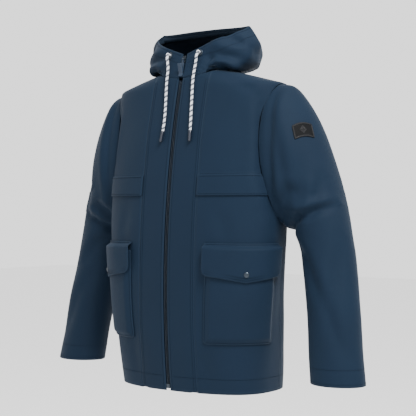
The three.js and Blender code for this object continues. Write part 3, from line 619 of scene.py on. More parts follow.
def press_folds() -> None:
    """Presses the jacket's folds into its three forms."""
    armhole = ((-8, 0.035), (-40, 0.015), (-75, 0.02), (-105, 0.035), (-135, 0.06), (-165, 0.08))
    behind = ((8, 0.035), (40, 0.015), (75, 0.02), (105, 0.035), (135, 0.06), (165, 0.08))
    SLEEVE.folds = [
        Crease(sleeve_line(*armhole), 12, 7, 3, (1, 0, 0)),
        Crease(sleeve_line(*behind), 12, 6, 3, (1, 0, 0)),
        Crease(sleeve_line((-176, 0.42), (-140, 0.435), (-100, 0.46), (-60, 0.49), (-22, 0.5)), 11, 10, 8),
        Crease(sleeve_line((-158, 0.28), (-132, 0.35), (-112, 0.42), (-96, 0.47)), 15, 8, 4),
        Crease(sleeve_line((-160, 0.18), (-128, 0.22), (-100, 0.30), (-80, 0.38)), 16, 6, 4),
        Crease(sleeve_line((-60, 0.05), (-84, 0.14), (-104, 0.26)), 15, 5, 3),
        Crease(sleeve_line((-36, 0.40), (-58, 0.46), (-84, 0.52)), 13, 4, 3),
        Crease(sleeve_line((150, 0.42), (120, 0.45), (90, 0.47)), 14, 8, 5),
        Crease(sleeve_line((170, 0.50), (140, 0.56), (110, 0.60)), 16, 5, 3),
        Crease(sleeve_line((150, 0.30), (120, 0.36), (95, 0.40)), 15, 6, 4),
        Crease(sleeve_line((-150, 0.56), (-120, 0.64), (-96, 0.76)), 18, 5, 3),
        Crease(sleeve_line((40, 0.30), (60, 0.38), (85, 0.42)), 18, 4),
        Crease(sleeve_line((-24, 0.60), (-48, 0.70), (-70, 0.84)), 18, 4, 2),
        Crease(sleeve_line((-110, 0.70), (-80, 0.80), (-50, 0.92)), 16, 4, 2),
    ]
    SLEEVE.right_folds = [
        Crease(sleeve_line(*armhole), 12, 6, 3, (1, 0, 0)),
        Crease(sleeve_line(*behind), 12, 7, 3, (1, 0, 0)),
        Crease(sleeve_line((-174, 0.46), (-136, 0.47), (-98, 0.49), (-56, 0.50)), 12, 8, 6),
        Crease(sleeve_line((-160, 0.24), (-130, 0.30), (-104, 0.38), (-84, 0.46)), 16, 6, 4),
        Crease(sleeve_line((-150, 0.54), (-112, 0.60), (-80, 0.70)), 16, 5, 3),
        Crease(sleeve_line((-30, 0.30), (-56, 0.42), (-70, 0.54)), 18, 4, 2),
        Crease(sleeve_line((-120, 0.72), (-84, 0.80), (-60, 0.92)), 18, 4, 2),
        Crease(sleeve_line((160, 0.40), (126, 0.44), (92, 0.45)), 14, 8, 5),
        Crease(sleeve_line((140, 0.54), (110, 0.60), (80, 0.68)), 18, 5, 3),
    ]
    hood = [
        Crease(hood_line((40, 0.08), (52, 0.17), (64, 0.15), (80, 0.11), (98, 0.07)), 9, 10, 8),
        Crease(hood_line((36, 0.22), (41, 0.42), (46, 0.30)), 10, 8, 3),
        Crease(hood_line((26, 0.62), (42, 0.56), (58, 0.48), (72, 0.44)), 13, 6, 5),
        Crease(hood_line((32, 0.99), (43, 0.93), (54, 0.99)), 14, -6),
        Crease(hood_line((58, 0.90), (66, 0.80), (74, 0.70)), 12, 6, 3),
        Crease(hood_line((84, 0.60), (100, 0.52), (120, 0.50)), 16, 5, 4),
    ]
    HOOD.folds = hood + [
        Crease(hood_line((110, 0.14), (136, 0.18), (160, 0.12)), 15, 6, 5),
        Crease(hood_line((112, 0.34), (136, 0.42), (158, 0.34)), 16, 5, 4),
    ]
    HOOD.right_folds = [
        Crease(hood_line((42, 0.10), (56, 0.18), (72, 0.14), (94, 0.08)), 10, 8, 7),
        Crease(hood_line((30, 0.62), (44, 0.54), (60, 0.50)), 13, 6, 5),
        Crease(hood_line((60, 0.88), (70, 0.78), (80, 0.66)), 13, 5, 3),
        Crease(hood_line((108, 0.18), (130, 0.26), (154, 0.22)), 16, 6, 5),
    ]
    BODY.folds = [
        Crease(body_line((60, -80), (64, -130), (66, -190), (70, -240)), 15, 6, 3, (-1, 0, 0)),
        Crease(body_line((66, -200), (68, -260), (80, -330)), 18, 5, 3, (-1, 0, 0)),
        Crease(body_line((118, -110), (114, -170), (112, -240)), 18, 5, 3, (-1, 0, 0)),
        Crease(body_line((36, -26), (44, -48), (56, -66)), 14, 3),
        Crease(body_line((30, -330), (36, -390), (38, -430)), 20, 2.5),
        Crease(body_line((60, -560), (64, -640), (66, -720)), 24, 3),
        Crease(body_line((24, -660), (26, -700), (25, -745)), 18, 2.5),
        Crease(body_line((150, -420), (148, -540), (150, -700)), 38, 5),
        Crease(body_line((120, -400), (126, -500), (124, -640)), 30, 4),
        Crease(body_line((96, -400), (98, -520), (96, -660)), 26, 4),
    ]
    BODY.right_folds = [
        Crease(body_line((60, -90), (65, -150), (68, -220)), 15, 6, 3, (-1, 0, 0)),
        Crease(body_line((118, -110), (115, -180), (112, -250)), 18, 5, 3, (-1, 0, 0)),
        Crease(body_line((28, -320), (32, -380), (30, -430)), 20, 3),
        Crease(body_line((22, -600), (25, -670), (22, -735)), 20, 3),
        Crease(body_line((96, -380), (100, -480), (97, -600)), 26, 4),
        Crease(body_line((140, -300), (146, -420), (142, -560)), 38, 5),
    ]


# ---- Finishes ----


class Nodes:
    """A small hand for wiring one node tree."""

    def __init__(self, tree: bpy.types.NodeTree) -> None:
        """Keeps the tree that the nodes go in."""
        self.tree = tree

    def add(self, kind: str, /, **settings: object) -> bpy.types.Node:
        """Adds a node; a setting that names an input gives its value, any other an option.

        Args:
            kind: the node's type name.
            settings: options and input values, with _ for a space in an input's name.

        Returns:
            The node.
        """
        node = self.tree.nodes.new(kind)
        for name, value in settings.items():
            socket = name.replace("_", " ")
            if hasattr(node, name):
                setattr(node, name, value)
            elif isinstance(value, bpy.types.NodeSocket):
                self.tree.links.new(value, node.inputs[socket])
            else:
                node.inputs[socket].default_value = value
        return node

    def wire(self, source: bpy.types.NodeSocket, node: bpy.types.Node, socket: object) -> None:
        """Joins an output to the input of a node with that name or number."""
        self.tree.links.new(source, node.inputs[socket])

    def maths(self, operation: str, a: object, b: object = 0.0) -> bpy.types.NodeSocket:
        """One sum of two values, each a number or an output."""
        node = self.tree.nodes.new("ShaderNodeMath")
        node.operation = operation
        for i, value in enumerate((a, b)):
            if isinstance(value, bpy.types.NodeSocket):
                self.tree.links.new(value, node.inputs[i])
            else:
                node.inputs[i].default_value = value
        return node.outputs[0]

    def blended(self, share: object, a: object, b: object, way: str = "MIX") -> bpy.types.NodeSocket:
        """Colour a turned into colour b by a share."""
        node = self.tree.nodes.new("ShaderNodeMix")
        node.data_type = "RGBA"
        node.blend_type = way
        for i, value in ((0, share), (6, a), (7, b)):
            if isinstance(value, bpy.types.NodeSocket):
                self.tree.links.new(value, node.inputs[i])
            else:
                node.inputs[i].default_value = value
        return node.outputs[2]


def group(name: str, inputs: dict[str, object], outputs: dict[str, str]) -> tuple[bpy.types.NodeTree, Nodes]:
    """Starts a shader node group with named sockets.

    Args:
        name: the group's name.
        inputs: each input's name and default, a number or a colour of four.
        outputs: each output's name and socket type.

    Returns:
        The group's tree, and a hand for wiring it.
    """
    tree = bpy.data.node_groups.new(name, "ShaderNodeTree")
    for key, value in inputs.items():
        kind = "NodeSocketFloat" if isinstance(value, (int, float)) else "NodeSocketColor"
        if isinstance(value, tuple) and len(value) == 3:
            kind = "NodeSocketVector"
        socket = tree.interface.new_socket(key, in_out="INPUT", socket_type=kind)
        socket.default_value = value
    for key, kind in outputs.items():
        tree.interface.new_socket(key, in_out="OUTPUT", socket_type=kind)
    return tree, Nodes(tree)


class Effects:
    """The shared effects, each a node group built once."""

    made: dict[str, bpy.types.NodeTree] = {}

    @classmethod
    def weave(cls) -> bpy.types.NodeTree:
        """Plain weave on the UV map: thread height and a lighter or darker thread colour."""
        if "weave" not in cls.made:
            tree, hand = group(
                "plain_weave",
                {"Place": (0.0, 0.0, 0.0), "Colour": (0.1, 0.1, 0.1, 1.0), "Threads": 900.0,
                 "Contrast": 0.12},
                {"Colour": "NodeSocketColor", "Height": "NodeSocketFloat"},
            )
            start = hand.add("NodeGroupInput")
            split = hand.add("ShaderNodeSeparateXYZ", Vector=start.outputs["Place"])
            waves = []
            for axis in ("X", "Y"):
                turns = hand.maths("MULTIPLY", split.outputs[axis], start.outputs["Threads"])
                waves.append(hand.maths("SINE", hand.maths("MULTIPLY", turns, math.pi)))
            over = hand.maths("MULTIPLY", waves[0], waves[1])
            warp = hand.maths("ABSOLUTE", waves[0])
            weft = hand.maths("ABSOLUTE", waves[1])
            side = hand.maths("GREATER_THAN", over, 0.0)
            other = hand.maths("SUBTRACT", 1.0, side)
            height = hand.maths(
                "ADD", hand.maths("MULTIPLY", warp, side), hand.maths("MULTIPLY", weft, other))
            low = hand.maths("SUBTRACT", 1.0, hand.maths("MULTIPLY", hand.maths("SUBTRACT", 1.0, height),
                                                         start.outputs["Contrast"]))
            shade = hand.add("ShaderNodeCombineColor", Red=low, Green=low, Blue=low)
            colour = hand.blended(1.0, start.outputs["Colour"], shade.outputs[0], "MULTIPLY")
            end = hand.add("NodeGroupOutput")
            hand.wire(colour, end, "Colour")
            hand.wire(height, end, "Height")
            cls.made["weave"] = tree
        return cls.made["weave"]

    @classmethod
    def wear(cls) -> bpy.types.NodeTree:
        """Slow colour variation, and rubbed edges where the cloth's edge attribute is high."""
        if "wear" not in cls.made:
            tree, hand = group(
                "wear_and_fade",
                {"Colour": (0.1, 0.1, 0.1, 1.0), "Rubbed": (0.3, 0.3, 0.3, 1.0), "Edge": 0.0,
                 "Amount": 0.25, "Fade": 0.1, "Roughness": 0.6},
                {"Colour": "NodeSocketColor", "Roughness": "NodeSocketFloat"},
            )
            start = hand.add("NodeGroupInput")
            place = hand.add("ShaderNodeTexCoord")
            cloud = hand.add("ShaderNodeTexNoise", Vector=place.outputs["Object"], Scale=7.0, Detail=4.0)
            fine = hand.add("ShaderNodeTexNoise", Vector=place.outputs["Object"], Scale=160.0, Detail=3.0)
            swing = hand.maths("MULTIPLY", hand.maths("SUBTRACT", cloud.outputs["Fac"], 0.5),
                               start.outputs["Fade"])
            level = hand.maths("ADD", 1.0, hand.maths("MULTIPLY", swing, 2.0))
            shade = hand.add("ShaderNodeCombineColor", Red=level, Green=level, Blue=level)
            faded = hand.blended(1.0, start.outputs["Colour"], shade.outputs[0], "MULTIPLY")
            mask = hand.maths("MULTIPLY", start.outputs["Edge"], start.outputs["Amount"])
            mask = hand.maths("MULTIPLY", mask, hand.maths("MULTIPLY", fine.outputs["Fac"], 1.6))
            colour = hand.blended(mask, faded, start.outputs["Rubbed"])
            rough = hand.maths("ADD", start.outputs["Roughness"], hand.maths("MULTIPLY", swing, 0.6))
            end = hand.add("NodeGroupOutput")
            hand.wire(colour, end, "Colour")
            hand.wire(rough, end, "Roughness")
            cls.made["wear"] = tree
        return cls.made["wear"]

    @classmethod
    def grain(cls) -> bpy.types.NodeTree:
        """Fine moulded or brushed grain on Object coordinates."""
        if "grain" not in cls.made:
            tree, hand = group(
                "surface_grain",
                {"Colour": (0.1, 0.1, 0.1, 1.0), "Scale": 900.0, "Contrast": 0.2, "Roughness": 0.4},
                {"Colour": "NodeSocketColor", "Roughness": "NodeSocketFloat", "Height": "NodeSocketFloat"},
            )
            start = hand.add("NodeGroupInput")
            place = hand.add("ShaderNodeTexCoord")
            noise = hand.add("ShaderNodeTexNoise", Vector=place.outputs["Object"], Detail=5.0)
            hand.wire(start.outputs["Scale"], noise, "Scale")
            swing = hand.maths("MULTIPLY", hand.maths("SUBTRACT", noise.outputs["Fac"], 0.5),
                               start.outputs["Contrast"])
            level = hand.maths("ADD", 1.0, swing)
            shade = hand.add("ShaderNodeCombineColor", Red=level, Green=level, Blue=level)
            colour = hand.blended(1.0, start.outputs["Colour"], shade.outputs[0], "MULTIPLY")
            end = hand.add("NodeGroupOutput")
            hand.wire(colour, end, "Colour")
            hand.wire(hand.maths("ADD", start.outputs["Roughness"], swing), end, "Roughness")
            hand.wire(noise.outputs["Fac"], end, "Height")
            cls.made["grain"] = tree
        return cls.made["grain"]


def started(name: str) -> tuple[bpy.types.Material, Nodes, bpy.types.Node]:
    """A new material with a hand for its tree and its Principled shader."""
    paint = bpy.data.materials.new(name)
    paint.use_nodes = True
    return paint, Nodes(paint.node_tree), paint.node_tree.nodes["Principled BSDF"]


@dataclass(frozen=True)
class Cloth:
    """A woven cloth.

    Args:
        name: the finish's name.
        colour: its linear colour.
        rubbed: the colour where its edges are rubbed.
        threads: threads to the metre.
        contrast: how much darker the gaps between threads are.
        depth: the weave's height in metres.
        roughness: of the shader.
        sheen: of the shader.
        wear: how far its edges are rubbed.
        fade: how much its colour varies.
    """

    name: str
    colour: Colour
    rubbed: Colour
    threads: float = 1100.0
    contrast: float = 0.25
    depth: float = 0.00012
    roughness: float = 0.62
    sheen: float = 0.25
    wear: float = 0.35
    fade: float = 0.12

    def material(self) -> bpy.types.Material:
        """Makes the cloth's material.

        Returns:
            The material.
        """
        paint, hand, shader = started(self.name)
        uv = hand.add("ShaderNodeUVMap", uv_map="cloth")
        edge = hand.add("ShaderNodeAttribute", attribute_name="edge")
        weave = hand.add("ShaderNodeGroup", node_tree=Effects.weave(), Colour=(*self.colour, 1),
                         Threads=self.threads, Contrast=self.contrast)
        hand.wire(uv.outputs["UV"], weave, "Place")
        wear = hand.add("ShaderNodeGroup", node_tree=Effects.wear(), Rubbed=(*self.rubbed, 1),
                        Amount=self.wear, Fade=self.fade, Roughness=self.roughness)
        hand.wire(weave.outputs["Colour"], wear, "Colour")
        hand.wire(edge.outputs["Fac"], wear, "Edge")
        place = hand.add("ShaderNodeTexCoord")
        crumple = hand.add("ShaderNodeTexNoise", Vector=place.outputs["Object"], Scale=55.0, Detail=4.0)
        bump = hand.add("ShaderNodeBump", Strength=0.5, Distance=self.depth)
        hand.wire(weave.outputs["Height"], bump, "Height")
        soft = hand.add("ShaderNodeBump", Strength=0.25, Distance=0.0012)
        hand.wire(crumple.outputs["Fac"], soft, "Height")
        hand.wire(bump.outputs["Normal"], soft, "Normal")
        hand.wire(wear.outputs["Colour"], shader, "Base Color")
        hand.wire(wear.outputs["Roughness"], shader, "Roughness")
        hand.wire(soft.outputs["Normal"], shader, "Normal")
        shader.inputs["Sheen Weight"].default_value = self.sheen
        shader.inputs["Sheen Roughness"].default_value = 0.45
        shader.inputs["Sheen Tint"].default_value = (0.55, 0.7, 0.9, 1)
        shader.inputs["Specular IOR Level"].default_value = 0.07
        return paint


@dataclass(frozen=True)
class Solid:
    """A hard or moulded finish.

    Args:
        name: the finish's name.
        colour: its linear colour.
        roughness: of the shader.
        metallic: 1 for bare metal.
        coat: a thin clear lacquer's weight.
        grain: how much the grain varies colour and roughness.
        grain_size: grains to the metre.
        relief: the grain's height in metres.
        shine: the mirror share of a finish that isn't metal.
    """

    name: str
    colour: Colour
    roughness: float = 0.4
    metallic: float = 0.0
    coat: float = 0.0
    grain: float = 0.2
    grain_size: float = 900.0
    relief: float = 0.00004
    shine: float = 0.3

    def material(self) -> bpy.types.Material:
        """Makes the finish's material.

        Returns:
            The material.
        """
        paint, hand, shader = started(self.name)
        grain = hand.add("ShaderNodeGroup", node_tree=Effects.grain(), Colour=(*self.colour, 1),
                         Scale=self.grain_size, Contrast=self.grain, Roughness=self.roughness)
        bump = hand.add("ShaderNodeBump", Strength=0.4, Distance=self.relief)
        hand.wire(grain.outputs["Height"], bump, "Height")
        hand.wire(grain.outputs["Colour"], shader, "Base Color")
        hand.wire(grain.outputs["Roughness"], shader, "Roughness")
        hand.wire(bump.outputs["Normal"], shader, "Normal")
        shader.inputs["Metallic"].default_value = self.metallic
        shader.inputs["Specular IOR Level"].default_value = self.shine
        shader.inputs["Coat Weight"].default_value = self.coat
        return paint


@dataclass(frozen=True)
class RopeYarn:
    """Two-colour twisted yarn; a strand's colour comes from the rope's strand attribute."""

    name: str
    light: Colour
    dark: Colour

    def material(self) -> bpy.types.Material:
        """Makes the rope's material.

        Returns:
            The material.
        """
        paint, hand, shader = started(self.name)
        uv = hand.add("ShaderNodeUVMap", uv_map="cloth")
        strand = hand.add("ShaderNodeAttribute", attribute_name="strand")
        share = hand.add("ShaderNodeValToRGB")
        share.color_ramp.elements[0].position = 0.42
        share.color_ramp.elements[1].position = 0.58
        hand.wire(strand.outputs["Fac"], share, "Fac")
        yarn = hand.blended(share.outputs["Color"], (*self.light, 1), (*self.dark, 1))
        weave = hand.add("ShaderNodeGroup", node_tree=Effects.weave(), Colour=yarn, Threads=2600.0,
                         Contrast=0.3)
        hand.wire(uv.outputs["UV"], weave, "Place")
        bump = hand.add("ShaderNodeBump", Strength=0.6, Distance=0.00018)
        hand.wire(weave.outputs["Height"], bump, "Height")
        hand.wire(weave.outputs["Colour"], shader, "Base Color")
        hand.wire(bump.outputs["Normal"], shader, "Normal")
        shader.inputs["Roughness"].default_value = 0.75
        shader.inputs["Sheen Weight"].default_value = 0.3
        return paint


class Finish(Enum):
    """Every finish of the jacket; the second value is the record's material slot."""

    SHELL = (Cloth("navy_shell", (0.0034, 0.0094, 0.0200), (0.007, 0.015, 0.028), sheen=0.04,
                   roughness=0.7), "shell_fabric")
    LINING = (Cloth("dark_lining", (0.0062, 0.0115, 0.020), (0.016, 0.024, 0.036), threads=1700, sheen=0.03,
                    roughness=0.6, wear=0.1), "lining_fabric")
    WEBBING = (Cloth("narrow_tape", (0.002, 0.004, 0.008), (0.012, 0.018, 0.03), sheen=0.03, threads=1400,
                     contrast=0.45, depth=0.0002), "webbing")
    LABEL = (Cloth("plain_label", (0.012, 0.022, 0.04), (0.04, 0.06, 0.09), threads=2000), "webbing")
    THREAD = (Solid("navy_thread", (0.0016, 0.004, 0.0085), 0.75, grain=0.4, grain_size=2500,
                    shine=0.05), "shell_fabric")
    COIL = (Solid("zip_nylon", (0.006, 0.012, 0.02), 0.36, coat=0.1), "zip_coil")
    PULL = (Solid("soft_tab", (0.0065, 0.015, 0.03), 0.5, grain=0.3, relief=0.0001), "zip_pull")
    METAL = (Solid("dark_lacquer", (0.02, 0.028, 0.038), 0.34, metallic=0.8, coat=0.3,
                   grain=0.25), "hardware")
    ROPE = (RopeYarn("two_colour_rope", (0.5, 0.52, 0.56), (0.008, 0.015, 0.032)), "drawcord")
    TIP = (Solid("shrunk_tip", (0.003, 0.005, 0.012), 0.38, coat=0.2, grain=0.3), "cord_tip")
    BADGE = (Cloth("woven_patch", (0.0012, 0.0013, 0.0016), (0.012, 0.012, 0.014), threads=1900,
                   contrast=0.5, wear=0.4, sheen=0.05), "badge")
    BADGE_THREAD = (Solid("patch_border", (0.004, 0.004, 0.005), 0.6, grain=0.5, grain_size=3000), "badge")

    def on(self, piece: bpy.types.Object) -> bpy.types.Object:
        """Dresses a piece in this finish.

        Args:
            piece: the object to dress.

        Returns:
            The same object.
        """
        paint = bpy.data.materials.get(self.value[0].name) or self.value[0].material()
        piece.data.materials.clear()
        piece.data.materials.append(paint)
        return piece

    def on_node(self, node: str) -> None:
        """Dresses a CAD node that is carried over."""
        paint = bpy.data.materials.get(self.value[0].name) or self.value[0].material()
        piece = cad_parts[node]
        if not piece.material_slots:
            piece.data.materials.append(paint)
        for slot in piece.material_slots:
            slot.material = paint


# ---- Cloth on a grid ----


@dataclass
class Sheet:
    """A sheet of cloth drawn on a grid of places, with thickness and a rounded edge.

    Args:
        name: the piece's name.
        surface: the form that it lies on.
        u: first parameter, at each row and column.
        v: second parameter, likewise.
        lift: millimetres out from the form to the sheet's outer face.
        thickness: millimetres inwards from there.
        level: says where the sheet is cut away, by a value below 0 at a place.
        closed: whether the last column meets the first.
        side: the side it is made for; the right is a mirror image.
    """

    name: str
    surface: Surface
    u: Array
    v: Array
    lift: Array = 0.0
    thickness: float = FABRIC
    level: Optional[Callable[[Array], Array]] = None
    closed: bool = False
    side: Side = Side.LEFT

    def places(self, u: Array, v: Array, lift: Array) -> tuple[Array, Array]:
        """The outer face and its normals at parameters."""
        self.surface.side = self.side
        return self.surface.out(u, v, lift)

    def build(self) -> bpy.types.Object:
        """Makes the sheet's mesh.

        Returns:
            The object, at the origin and linked to the scene.
        """
        rows, cols = self.u.shape
        u, v = self.u.ravel().copy(), self.v.ravel().copy()
        lift = np.broadcast_to(np.asarray(self.lift, float), self.u.shape).ravel().copy()
        index = np.arange(rows * cols).reshape(rows, cols)
        if self.closed:
            index = np.concatenate([index, index[:, :1]], axis=1)
        quads = grid_faces(index)
        p, n = self.places(u, v, lift)
        if self.level is not None:
            u, v, quads = self.trimmed(u, v, lift, p, quads, rows, cols)
            p, n = self.places(u, v, lift)
        flat = self.lay_flat(p.reshape(rows, cols, 3))
        used = np.unique(quads)
        renumber = np.full(len(u), -1)
        renumber[used] = np.arange(len(used))
        return sheet_object(
            self.name, p[used], n[used], renumber[quads], flat[used], self.thickness, self.side)

    @staticmethod
    def lay_flat(p: Array) -> Array:
        """A UV map in metres, from the mean distances between columns and between rows."""
        across = np.linalg.norm(np.diff(p, axis=1), axis=2).mean(0)
        up = np.linalg.norm(np.diff(p, axis=0), axis=2).mean(1)
        s = np.concatenate([[0], np.cumsum(across)]) * MM
        t = np.concatenate([[0], np.cumsum(up)]) * MM
        return np.stack(np.meshgrid(s, t), axis=-1).reshape(-1, 2)

    def trimmed(self, u: Array, v: Array, lift: Array, p: Array, quads: Array, rows: int, cols: int):
        """Cuts the grid where level is below 0 and pulls its new edge onto the cut.

        Args:
            u: first parameters.
            v: second parameters.
            lift: distances out.
            p: the places.
            quads: the faces.
            rows: rows in the grid.
            cols: columns in the grid.

        Returns:
            The moved parameters and the faces that are left.
        """
        value = self.level(p)
        gone = value < 0
        quads = quads[~gone[quads].all(axis=1)]
        edge = np.unique(quads)
        edge = edge[gone[edge]]
        best = np.full(len(edge), 2.0)
        new_u, new_v = u[edge].copy(), v[edge].copy()
        i, j = edge // cols, edge % cols
        for di, dj in ((0, 1), (0, -1), (1, 0), (-1, 0), (1, 1), (1, -1), (-1, 1), (-1, -1)):
            ni, nj = i + di, j + dj
            nj = nj % cols if self.closed else nj
            ok = (ni >= 0) & (ni < rows) & (nj >= 0) & (nj < cols)
            near = np.where(ok, np.clip(ni, 0, rows - 1) * cols + np.clip(nj, 0, cols - 1), edge)
            ok &= ~gone[near]
            if not ok.any():
                continue
            a, b = edge[ok], near[ok]
            ub = u[b] + np.round((u[a] - u[b]) / TURN) * TURN if self.closed else u[b]
            low, high = np.zeros(len(a)), np.ones(len(a))
            for _ in range(12):
                middle = (low + high) / 2
                where = (mixed(u[a], ub, middle), mixed(v[a], v[b], middle), mixed(lift[a], lift[b], middle))
                q, _ = self.places(*where)
                out = self.level(q) >= 0
                high = np.where(out, middle, high)
                low = np.where(out, low, middle)
            reach = high * (1.4 if di and dj else 1.0)
            better = reach < best[ok]
            k = np.flatnonzero(ok)[better]
            best[k] = reach[better]
            new_u[k] = mixed(u[a], ub, high)[better]
            new_v[k] = mixed(v[a], v[b], high)[better]
        u, v = u.copy(), v.copy()
        u[edge], v[edge] = new_u, new_v
        return u, v, quads


def sheet_object(
    name: str, p: Array, n: Array, quads: Array, flat: Array, thickness: float, side: Side,
) -> bpy.types.Object:
    """Gives a face of cloth its thickness and a rounded edge, and makes the object.

    Args:
        name: the piece's name.
        p: the outer face's places, in millimetres.
        n: the directions out there.
        quads: the outer face's faces.
        flat: the places on the UV map.
        thickness: millimetres inwards from the outer face.
        side: the right is made as a mirror image.

    Returns:
        The object.
    """
    if side is Side.RIGHT:
        p = p * (-1, 1, 1)
        n = n * (-1, 1, 1)
    corner = p[quads]
    face_way = np.cross(corner[:, 2] - corner[:, 0], corner[:, 3] - corner[:, 1])
    if (face_way * n[quads[:, 0]]).sum() < 0:
        quads = quads[:, ::-1]
        corner = p[quads]
        face_way = -face_way
    quads = quads[np.linalg.norm(face_way, axis=1) > 1e-4]
    count = len(p)
    edges = np.stack([quads, np.roll(quads, -1, axis=1)], axis=-1).reshape(-1, 2)
    keys = edges[:, 0].astype(np.int64) * count + edges[:, 1]
    rim = edges[~np.isin(keys, edges[:, 1].astype(np.int64) * count + edges[:, 0])]
    way = p[rim[:, 1]] - p[rim[:, 0]]
    outward = np.cross(way, (n[rim[:, 0]] + n[rim[:, 1]]) / 2)
    outward /= np.maximum(np.linalg.norm(outward, axis=1, keepdims=True), 1e-9)
    push = np.zeros_like(p)
    np.add.at(push, rim[:, 0], outward)
    np.add.at(push, rim[:, 1], outward)
    push /= np.maximum(np.linalg.norm(push, axis=1, keepdims=True), 1e-9)
    rim_ids = np.unique(rim)
    middle_of = np.full(count, -1)
    middle_of[rim_ids] = 2 * count + np.arange(len(rim_ids))
    inner = p - n * thickness
    middles = (p[rim_ids] + inner[rim_ids]) / 2 + push[rim_ids] * thickness * 0.4
    vertices = np.concatenate([p, inner, middles]) * MM
    a, b = rim.T
    faces = np.concatenate([
        quads, quads[:, ::-1] + count,
        np.stack([b, a, middle_of[a], middle_of[b]], axis=-1),
        np.stack([middle_of[b], middle_of[a], a + count, b + count], axis=-1),
    ])
    uv = np.concatenate([flat, flat, flat[rim_ids]])
    near = edge_nearness(p, rim_ids)
    wear = np.concatenate([near, near, np.ones(len(rim_ids))])
    return mesh_object(name, vertices, faces, uv, {"edge": wear})


def edge_nearness(p: Array, rim_ids: Array) -> Array:
    """How near each place is to the sheet's edge, 1 at it and about 0 from 6 mm."""
    cell = 6.0
    cells = {tuple(c) for c in np.floor(p[rim_ids] / cell).astype(int)}
    keys = np.floor(p / cell).astype(int)
    near = np.array([tuple(k) in cells for k in keys])
    value = np.where(near, 0.35, 0.0)
    value[rim_ids] = 1.0
    return value


def grid_faces(index: Array) -> Array:
    """The four-cornered faces between the rows and columns of a grid of vertex numbers."""
    corners = (index[:-1, :-1], index[:-1, 1:], index[1:, 1:], index[1:, :-1])
    return np.stack(corners, axis=-1).reshape(-1, 4)


def mesh_object(
    name: str, vertices: Array, faces: Array, uv: Optional[Array] = None,
    values: Optional[dict[str, Array]] = None,
) -> bpy.types.Object:
    """Makes a smooth mesh object in metres, linked to the scene.

    Args:
        name: the object's name.
        vertices: places, in metres.
        faces: vertex numbers of each face, all with as many corners.
        uv: a place on the UV map for each vertex.
        values: named attributes, with a number for each vertex.

    Returns:
        The object.
    """
    mesh = bpy.data.meshes.new(name)
    faces = np.asarray(faces)
    corners = faces.shape[1]
    mesh.vertices.add(len(vertices))
    mesh.vertices.foreach_set("co", np.asarray(vertices, np.float32).ravel())
    mesh.loops.add(faces.size)
    mesh.loops.foreach_set("vertex_index", faces.ravel().astype(np.int32))
    mesh.polygons.add(len(faces))
    mesh.polygons.foreach_set("loop_start", np.arange(0, faces.size, corners, dtype=np.int32))
    mesh.update(calc_edges=True)
    mesh.polygons.foreach_set("use_smooth", np.ones(len(faces), bool))
    if uv is not None:
        layer = mesh.uv_layers.new(name="cloth")
        layer.data.foreach_set("uv", uv[faces.ravel()].astype(np.float32).ravel())
    for key, value in (values or {}).items():
        attribute = mesh.attributes.new(key, "FLOAT", "POINT")
        attribute.data.foreach_set("value", np.asarray(value, np.float32))
    mesh.validate()
    piece = bpy.data.objects.new(name, mesh)
    bpy.context.scene.collection.objects.link(piece)
    return piece


def volume_of(piece: bpy.types.Object) -> float:
    """The signed volume of a closed mesh, in cubic metres."""
    mesh = piece.data
    mesh.calc_loop_triangles()
    co = np.array([v.co for v in mesh.vertices])
    t = np.array([tri.vertices[:] for tri in mesh.loop_triangles])
    return float((co[t[:, 0]] * np.cross(co[t[:, 1]], co[t[:, 2]])).sum() / 6)


@dataclass(frozen=True)
class Use:
    """What a sheet of cloth is for.

    Args:
        finish: its finish.
        nodes: the CAD nodes it stands for.
        rests_on: what it is sewn to or lies on; not used.
        body: the body it rides.
        held: how it hangs; not used.
    """

    finish: Finish
    nodes: tuple[str, ...]
    rests_on: tuple[str, ...] = ()
    body: str = "jacket"
    held: str = "draped"


def put_to_use(piece: bpy.types.Object, use: Use, ride: bool = True) -> bpy.types.Object:
    """Dresses a sheet, states its flat size, and hides the CAD nodes it stands for.

    Args:
        piece: the sheet's object.
        use: what it is for.
        ride: whether it follows one body as it is.

    Returns:
        The same object.
    """
    use.finish.on(piece)
    mesh = piece.data
    area = sum(polygon.area for polygon in mesh.polygons) / 2
    flat = np.empty(len(mesh.loops) * 2, np.float32)
    mesh.uv_layers["cloth"].data.foreach_get("uv", flat)
    width, length = np.ptp(flat.reshape(-1, 2), axis=0)
    grow = max(1.0, math.sqrt(area / (width * length)))
    width, length = (max(float(side * grow), 0.0101) for side in (width, length))
    area = max(area, 0.31 * width * length)
    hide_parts(*use.nodes)
    if ride:
        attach(piece, use.body)
    log.info("%s: %d faces, cut %.0f x %.0f mm, %.4f m2", piece.name, len(mesh.polygons),
             width * 1000, length * 1000, area)
    return piece


# ---- Topstitching ----


